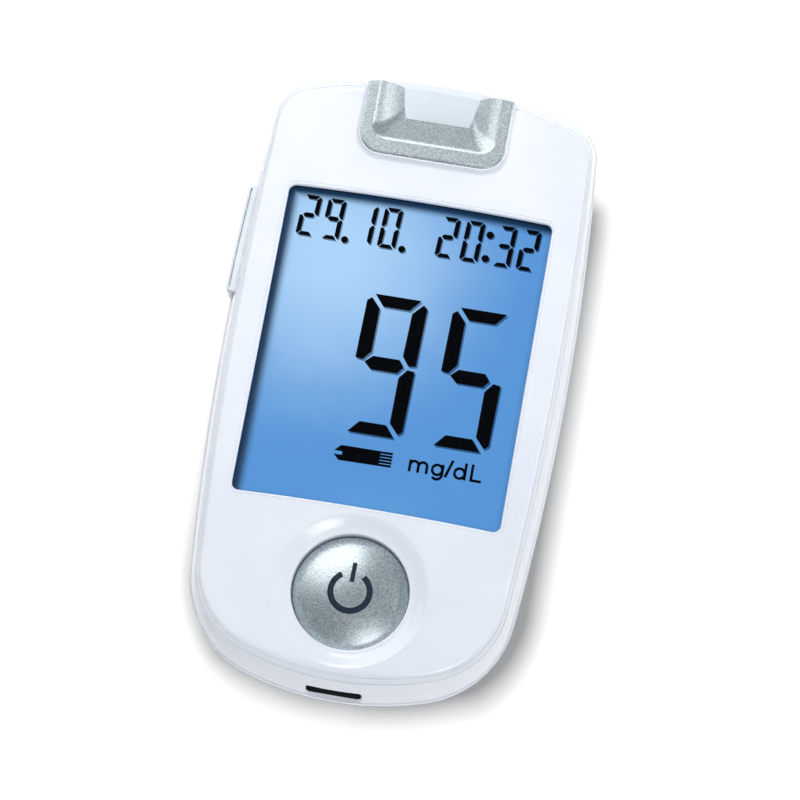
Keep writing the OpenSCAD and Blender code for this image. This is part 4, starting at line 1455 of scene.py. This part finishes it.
@dataclass
class SideRocker:
    """The rocker in the left side: a long cap on a hub and a pin, with a fine line along it."""

    middle: float = 21.2
    length: float = 19.8
    proud: float = 0.95
    back: float = -27.2
    low: float = 11.8
    high: float = 16.8
    corner: float = 1.0
    edge: Point2 = (0.45, 0.5)
    pivot: float = -26.4
    pin: float = 0.6
    hub: float = 1.15

    def face(self, y: float) -> float:
        """Returns X of the cap's outer face."""
        reach = math.sqrt(WIDE.side**2 - (y - WIDE.widest) ** 2)
        return -(WIDE.half_width - WIDE.side + reach + self.proud)

    def outline(self, inset: float) -> list[Point2]:
        """Returns the cap's plan, with round outer corners and a bowed outer face.

        Args:
            inset: How far it lies inside the cap.

        Returns:
            Its points.
        """
        foot, head = self.middle - self.length / 2, self.middle + self.length / 2
        radius = self.corner
        turn = radius - inset
        first = (self.face(head - radius) + radius, head - radius)
        last = (self.face(foot + radius) + radius, foot + radius)
        points = [(self.back - inset, foot + inset), (self.back - inset, head - inset)]
        points += arc(first, turn, 90.0, 180.0, 8)
        for i in range(13):
            y = mix(head - radius, foot + radius, i / 12)
            points.append((self.face(y) + inset, y))
        return points + arc(last, turn, 180.0, 270.0, 8)[1:] + [(last[0], foot + inset)]

    def line(self) -> Form:
        """Returns the fine line that is cut along the cap's upper face.

        Returns:
            The form to cut away.
        """
        places = [mix(self.middle - 9.0, self.middle + 9.3, i / 12) for i in range(13)]
        outer = [(self.face(y) + 0.4, y) for y in places]
        inner = [(self.face(y) + 0.7, y) for y in reversed(places)]
        return Form("rocker_line").plate(inner + outer, self.high - 0.7, self.high + 1.0)

    def build(self) -> bpy.types.Object:
        """Draws the cap with rounded edges, its line, its hub and its pin.

        Returns:
            The rocker.
        """
        drop = self.edge[1]
        upper = quarter(*self.edge, self.high, 6)
        lower = [(inset, self.low + self.high - height) for inset, height in reversed(upper)]
        levels = [*lower, (0.0, self.low + drop), (0.0, self.high - drop), *upper]
        form = Form("side_rocker_cap").loft([[(x, y, z) for x, y in self.outline(g)] for g, z in levels])
        form.carve(self.line())
        upright = [
            (0.0, 10.2), (self.pin, 10.2), (self.pin, 11.7), (self.hub, 11.7),
            (self.hub, 16.9), (self.pin, 16.9), (self.pin, 18.4), (0.0, 18.4),
        ]
        form.spin(upright, (self.pivot, self.middle), 32)
        return form.piece("rocker", "rocker_white", ROCKER, ["side_rocker"], 34.0)


class Figure(Enum):
    """Which of the seven segments each figure lights."""

    ZERO = "abcdef"
    ONE = "bc"
    TWO = "abged"
    THREE = "abgcd"
    FIVE = "afgcd"
    NINE = "abcdfg"


@dataclass(frozen=True)
class SegmentStyle:
    """The size of a seven-segment figure, of its upright and level strokes, and of their gaps."""

    width: float
    height: float
    upright: float
    level: float
    gap: float

    def shapes(self, figure: Figure) -> list[list[Point2]]:
        """Returns the outlines of a figure's lit segments, from its lower left corner.

        Args:
            figure: The figure.

        Returns:
            One outline for each lit segment.
        """
        w, h, u, t, g = self.width, self.height, self.upright, self.level, self.gap
        m = h * 0.508
        half = t * 0.58
        upper = [
            (w - 0.3 * u, h - 0.28 * u), (w, h - 0.52 * u), (w, m + 0.2 * u),
            (w - 0.5 * u, m + 0.12 * u), (w - u, m + 0.76 * u), (w - 0.96 * u, h - u),
        ]
        lower = [(x, 2.0 * m - y - (2.0 * m - h) * (1.0 if y > h * 0.75 else 0.0)) for x, y in upper]
        known = {
            "a": [(0.47 * u, h), (w - 0.5 * u, h), (w - u - g, h - t), (u + g, h - t)],
            "b": upper,
            "c": lower,
            "d": [(u + g, t), (w - u - g, t), (w - 0.5 * u, 0.0), (0.47 * u, 0.0)],
            "g": [
                (0.66 * u, m), (u + g, m + half), (w - u - g, m + half), (w - 0.8 * u, m),
                (w - u - g, m - half), (u + g, m - half),
            ],
        }
        known["e"] = [(w - x, y) for x, y in known["c"]]
        known["f"] = [(w - x, y) for x, y in known["b"]]
        return [known[letter] for letter in figure.value]


LARGE = SegmentStyle(10.5, 24.8, 2.54, 2.1, 0.42)
SMALL = SegmentStyle(3.2, 7.4, 0.82, 0.72, 0.12)
SLANT = 0.02
SMALL_SLANT = 0.045
Shapes = list[list[Point2]]


@dataclass
class Display:
    """What the display shows: figures, a strip, the unit and the figures' soft shadows."""

    reading_foot: float = -10.2
    reading: Sequence[tuple[Figure, float]] = ((Figure.NINE, -6.78), (Figure.FIVE, 8.05))
    line_foot: float = 22.9
    line: Sequence[tuple[Figure, float]] = (
        (Figure.TWO, -20.7), (Figure.NINE, -16.4), (Figure.ONE, -10.75), (Figure.ZERO, -6.47),
        (Figure.TWO, 3.6), (Figure.ZERO, 7.9), (Figure.THREE, 13.5), (Figure.TWO, 17.7),
    )
    dots: Sequence[tuple[float, float, float]] = (
        (-12.09, 23.28, 0.62), (-2.09, 23.21, 0.62), (12.48, 28.24, 0.66), (12.36, 23.93, 0.66),
    )
    unit_place: Point2 = (5.8, -15.38)
    unit_stroke: float = 0.47

    @staticmethod
    def placed(
        figures: Sequence[tuple[Figure, float]], style: SegmentStyle, foot: float, slant: float
    ) -> Shapes:
        """Sets a row of figures in place.

        Args:
            figures: Figures and their left sides.
            style: Their size.
            foot: Where their feet lie along Y.
            slant: How far they lean for each millimetre of height.

        Returns:
            The outlines of all their segments.
        """
        return [
            [(x + left + slant * y, y + foot) for x, y in shape]
            for figure, left in figures
            for shape in style.shapes(figure)
        ]

    def _flat(self, name: str, shapes: Shapes) -> bpy.types.Object:
        """Draws dark shapes on the display as thin plates.

        Args:
            name: The piece's name.
            shapes: Their outlines.

        Returns:
            The piece.
        """
        form = Form(name)
        for shape in shapes:
            form.plate(shape, DIGIT_Z, DIGIT_Z + 0.02)
        bmesh.ops.recalc_face_normals(form.mesh, faces=form.mesh.faces)
        return form.piece("case", "liner_black", SEGMENT)

    def strip_icon(self) -> bpy.types.Object:
        """Draws the picture of a test strip.

        Returns:
            The piece.
        """
        body = [(-5.72, -15.43), (0.75, -15.33), (0.75, -12.72), (-5.72, -12.75)]
        upper = [(-5.7, -13.85), (-5.7, -12.75), (-6.09, -12.77), (-7.12, -13.81)]
        lower = [(-5.7, -15.43), (-5.7, -14.42), (-7.12, -14.48), (-6.1, -15.44)]
        bands = [
            [(0.7, low), (2.84, low + 0.03), (2.84, low + 0.43), (0.7, low + 0.4)]
            for low in (-15.33, -14.78, -14.23, -13.68, -13.13)
        ]
        return self._flat("strip_icon", [body, upper, lower, *bands])

    @staticmethod
    def stroke(points: Sequence[Point2], width: float) -> Shapes:
        """Returns the quads of a line of even width.

        Args:
            points: The points that it runs through.
            width: Its width.

        Returns:
            One quad for each step of the line.
        """
        sides = []
        for i, (x, y) in enumerate(points):
            back, ahead = points[max(i - 1, 0)], points[min(i + 1, len(points) - 1)]
            turn_x, turn_y = ahead[0] - back[0], ahead[1] - back[1]
            push = width / 2 / math.hypot(turn_x, turn_y)
            sides.append(((x - turn_y * push, y + turn_x * push), (x + turn_y * push, y - turn_x * push)))
        return [[near[0], near[1], far[1], far[0]] for near, far in zip(sides, sides[1:])]

    def unit(self) -> bpy.types.Object:
        """Writes the unit of the reading in plain round letters.

        Returns:
            The piece.
        """
        tall, bowl, arch, arch_top = 3.0, 0.87, 0.73, 1.2
        lines = [[(0.2, 0.0), (0.2, 2.1)]]
        for middle in (0.93, 2.39):
            lines.append(arc((middle, arch_top), arch, 180.0, 0.0, 12) + [(middle + arch, 0.0)])
        for middle in (4.88, 8.7):
            lines += [arc((middle, 1.05), bowl, -5.0, 185.0, 16), arc((middle, 1.05), bowl, 175.0, 365.0, 16)]
        lines.append([(5.78, 2.1)] + arc((4.9, 0.28), 0.88, 0.0, -152.0, 14))
        lines += [[(6.35, 0.0), (7.3, 3.1)], [(9.62, 0.0), (9.62, tall)]]
        lines += [[(10.75, 0.0), (10.75, tall)], [(10.55, 0.19), (12.5, 0.19)]]
        left, foot = self.unit_place
        placed = [[(left + x, y + foot) for x, y in line] for line in lines]
        shapes = [quad for line in placed for quad in self.stroke(line, self.unit_stroke)]
        return self._flat("unit_label", shapes)

    @staticmethod
    def shadows(name: str, shapes: Shapes, shift: Point2, soft: float) -> bpy.types.Object:
        """Draws the soft shadow that segments throw on the ground behind them.

        Args:
            name: The piece's name.
            shapes: Outlines of the segments.
            shift: How far the shadow lies off its segment.
            soft: How wide its soft edge is.

        Returns:
            The piece.
        """
        form = Form(name)
        shade = form.mesh.verts.layers.float.new("shade")
        for shape in shapes:
            made = bmesh.ops.create_circle(form.mesh, segments=len(shape), radius=1.0, cap_ends=True)
            inner = made["verts"]
            for vertex, (x, y) in zip(inner, shape):
                vertex.co = (x + shift[0], y + shift[1], GLASS_TOP + 0.006)
            face = inner[0].link_faces[0]
            bmesh.ops.inset_region(
                form.mesh, faces=[face], thickness=soft, use_boundary=True, use_even_offset=True,
                use_outset=True,
            )
            for vertex in inner:
                vertex[shade] = 1.0
        return form.piece("case", "liner_black", SHADE)

    def build(self) -> list[bpy.types.Object]:
        """Builds all that the display shows.

        Returns:
            The pieces.
        """
        large = self.placed(self.reading, LARGE, self.reading_foot, SLANT)
        small = self.placed(self.line, SMALL, self.line_foot, SMALL_SLANT)
        small += [arc((x, y), radius, 0.0, 360.0, 24) for x, y, radius in self.dots]
        return [
            self._flat("large_figures", large),
            self._flat("small_figures", small),
            self.strip_icon(),
            self.unit(),
            self.shadows("large_shadows", large, (0.3, -0.3), 0.5),
            self.shadows("small_shadows", small, (0.22, -0.22), 0.3),
        ]


# ---- Nodes that keep their own shape ------------------------------------------------------

# The fourth colour is the painted shade along the display's edges.
GLOW = Glow(
    "display_blue", shown(78, 143, 207), shown(170, 208, 240), shown(104, 166, 222), shown(8, 42, 72),
    (-22.95, -23.9), (22.95, 31.1),
)
PLAIN_NODES: dict[str, Finish] = {
    "display_window": WINDOW, "window_adhesive": FOAM, "display_gasket": FOAM,
    "lcd_front_glass": GLOW, "lcd_rear_glass": REAR_GLASS, "lcd_frame": FRAME,
    "backlight_guide": GUIDE, "reflector_sheet": FRAME, "backlight_leds": LED,
    "zebra_strip": ZEBRA, "main_board": GREEN, "controller_chip": CHIP, "memory_chip": CHIP,
    "crystal": TIN, "board_passives": CERAMIC, "strip_connector": LINER, "strip_contacts": GOLD,
    "power_switch": CHIP, "power_switch_plunger": FRAME, "side_switches": CHIP,
    "side_switch_plungers": FRAME, "usb_socket": TIN, "usb_tongue": LINER,
    "battery_left": CELL, "battery_right": CELL,
    "battery_springs": TIN, "battery_plates": TIN, "housing_screws": STEEL,
}


def dress_nodes(frame: dict) -> None:
    """Gives every node that keeps its own shape its material.

    Args:
        frame: The loaded frame.
    """
    for node, finish in PLAIN_NODES.items():
        shape = frame["nodes"][node]
        shape.data.materials.clear()
        shape.data.materials.append(finish.material())
        LOG.info("%s: %s", node, finish.name)


# ---- Studio -------------------------------------------------------------------------------


@dataclass(frozen=True)
class Lamp:
    """A soft square lamp that shines at the meter, from a direction and away, in metres.

    Its size is its side in metres and its power is in watts. It can be left out of gloss or of
    the light on matt surfaces.
    """

    name: str
    toward: Sequence[float]
    away: float
    size: float
    power: float
    glossy: bool = True
    diffuse: bool = True

    def hang(self) -> None:
        """Adds the lamp to the scene."""
        data = bpy.data.lights.new(self.name, "AREA")
        data.shape = "SQUARE"
        data.size = self.size
        data.energy = self.power
        made = bpy.data.objects.new(self.name, data)
        way = Vector(self.toward).normalized()
        made.location = way * self.away
        made.rotation_euler = way.to_track_quat("Z", "Y").to_euler()
        made.visible_glossy = self.glossy
        made.visible_diffuse = self.diffuse
        bpy.context.scene.collection.objects.link(made)


LAMPS = (
    Lamp("top", (-0.2, 0.38, 0.9), 0.42, 0.2, 0.92, glossy=False),
    Lamp("key", (-0.42, 0.6, 0.74), 0.75, 0.36, 0.8, glossy=False),
    Lamp("sheen", (-0.43, 0.6, 0.68), 0.75, 0.56, 2.0, diffuse=False),
    Lamp("crest", (-0.1, 0.72, 0.68), 0.8, 0.14, 0.3, diffuse=False),
    Lamp("edge", (0.86, 0.26, 0.44), 0.8, 0.34, 1.1, diffuse=False),
    Lamp("west", (-0.86, 0.27, 0.43), 0.8, 0.24, 0.36, diffuse=False),
    Lamp("near", (0.3, -0.62, 0.72), 0.8, 0.24, 0.62),
    Lamp("gleam", (0.38, -0.5, 0.78), 0.8, 0.26, 0.5, diffuse=False),
    Lamp("side", (0.85, 0.55, 0.26), 0.3, 0.16, 0.22, glossy=False),
    Lamp("foot", (0.35, -0.9, 0.24), 0.7, 0.3, 1.7, glossy=False),
    Lamp("back", (0.1, 0.95, 0.3), 0.6, 0.3, 0.35, glossy=False),
)


@dataclass
class Studio:
    """The pale floor, the room and the camera. The floor holds back its glow near the meter as a painted
    shadow.
    """

    location: Sequence[float] = (0.0448106, -0.1586910, 0.5982092)
    right: Sequence[float] = (0.9842642, 0.1748887, -0.0252574)
    up: Sequence[float] = (-0.16197476, 0.95009154, 0.26662754)
    back: Sequence[float] = (0.07062699, -0.25834088, 0.96346864)
    focal: float = 159.3
    floor_reach: float = 3000.0
    floor_z: float = -0.05
    # The painted shadow round the meter: its middle, half size, corner radius, foot bulge and fade width;
    # then the glow it holds back.
    shade_middle: Point2 = (0.4, 1.9)
    shade_half: Point2 = (28.7, 53.9)
    shade_corner: float = 19.5
    shade_foot: float = 0.2
    shade_width: float = 6.2
    floor_glow: float = 0.74
    room_light: float = 0.28
    room_gloss: float = 0.05

    def camera(self) -> None:
        """Places the camera."""
        data = bpy.data.cameras.new("camera")
        data.lens = self.focal
        data.sensor_width = 36.0
        data.clip_start = 0.01
        made = bpy.data.objects.new("camera", data)
        axes = Matrix((self.right, self.up, self.back)).transposed().to_4x4()
        made.matrix_world = Matrix.Translation(self.location) @ axes
        bpy.context.scene.collection.objects.link(made)
        bpy.context.scene.camera = made

    def floor_away(self, graph: Graph) -> Value:
        """Returns how far a place on the floor lies from the painted shadow's outline, which follows the
        meter's.

        Args:
            graph: The floor's nodes.

        Returns:
            The distance in millimetres, below zero under the meter.
        """
        x, y, _ = graph.axes(graph.position((*self.shade_middle, 0.0)))
        corner = self.shade_corner
        aside = (x.size() - (self.shade_half[0] - corner)).most(0.0)
        along = (y.size() - (self.shade_half[1] - corner)).most(0.0)
        sides = (aside * aside + along * along) ** 0.5 - corner
        below = y + self.shade_half[1] - WIDE.foot
        foot = (x * x + below * below) ** 0.5 - WIDE.foot - self.shade_foot
        return sides.most(foot)

    def floor_material(self) -> bpy.types.Material:
        """Returns the floor's material: pale, with a glow that only the eye and gloss see, held back near the
        meter as a painted shadow.

        Returns:
            The material.
        """
        material = bpy.data.materials.new("floor_white")
        material.use_nodes = True
        graph = Graph(material.node_tree)
        path = graph.node("ShaderNodeLightPath", output="Is Camera Ray")
        rays = path.socket.node.outputs
        seen = path.most(Value(graph, rays["Is Glossy Ray"])).most(Value(graph, rays["Is Transmission Ray"]))
        cloud = graph.noise(120.0, 1.0).rise(0.0, 1.0, 0.57, 0.59)
        tint = graph.node("ShaderNodeCombineColor", None, {0: cloud, 1: cloud * 0.97, 2: cloud * 0.945})
        diffuse = graph.node("ShaderNodeBsdfDiffuse", None, {"Color": tint})
        away = self.floor_away(graph)
        # Painted shadow: the glow fades towards the meter's outline, so the floor darkens there.
        rest = 1.0 - (away.most(0.0) / self.shade_width).least(1.0)
        strength = (1.0 - rest ** 1.4) * self.floor_glow * seen
        glow = graph.node("ShaderNodeEmission", None, {"Color": (1.0, 1.0, 1.0), "Strength": strength})
        graph.finish(graph.node("ShaderNodeAddShader", None, {0: diffuse, 1: glow}))
        return material

    def floor(self) -> None:
        """Adds a floor that looks white, keeps the meter's shadow and holds a painted shadow round it."""
        form = Form("floor")
        bmesh.ops.create_grid(form.mesh, x_segments=1, y_segments=1, size=self.floor_reach)
        bmesh.ops.translate(form.mesh, verts=form.mesh.verts, vec=(0, 0, self.floor_z))
        bmesh.ops.scale(form.mesh, verts=form.mesh.verts, vec=(MM, MM, MM))
        mesh = bpy.data.meshes.new("floor")
        form.mesh.to_mesh(mesh)
        made = bpy.data.objects.new("floor", mesh)
        bpy.context.scene.collection.objects.link(made)
        mesh.materials.append(self.floor_material())

    def room(self) -> None:
        """Lights the room: white to the eye, greyer in gloss and as soft light."""
        world = bpy.data.worlds.new("room")
        bpy.context.scene.world = world
        world.use_nodes = True
        graph = Graph(world.node_tree)
        seen = graph.node("ShaderNodeLightPath", output="Is Camera Ray")
        gloss = Value(graph, seen.socket.node.outputs["Is Glossy Ray"])
        soft = self.room_light - gloss * self.room_gloss
        strength = seen + (1.0 - seen) * soft
        tint = graph.blend(seen, (0.8, 0.92, 1.0), (1.0, 1.0, 1.0))
        light = graph.node("ShaderNodeBackground", None, {"Color": tint, "Strength": strength})
        graph.finish(light, "ShaderNodeOutputWorld")

    def build(self) -> None:
        """Builds the whole studio."""
        bpy.context.scene.view_settings.view_transform = "Standard"
        self.floor()
        self.room()
        for lamp in LAMPS:
            lamp.hang()
        self.camera()


def main() -> None:
    """Builds the meter's looks round its frame, piece by piece."""
    logging.basicConfig(level=logging.INFO, format="%(name)s: %(message)s")
    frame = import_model()
    dress_nodes(frame)
    FrontHousing().build()
    StripPort().build()
    RearParts(frame).build()
    PowerButton().build()
    SideRocker().build()
    Display().build()
    Studio().build()
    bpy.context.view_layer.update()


if __name__ == "__main__":
    main()
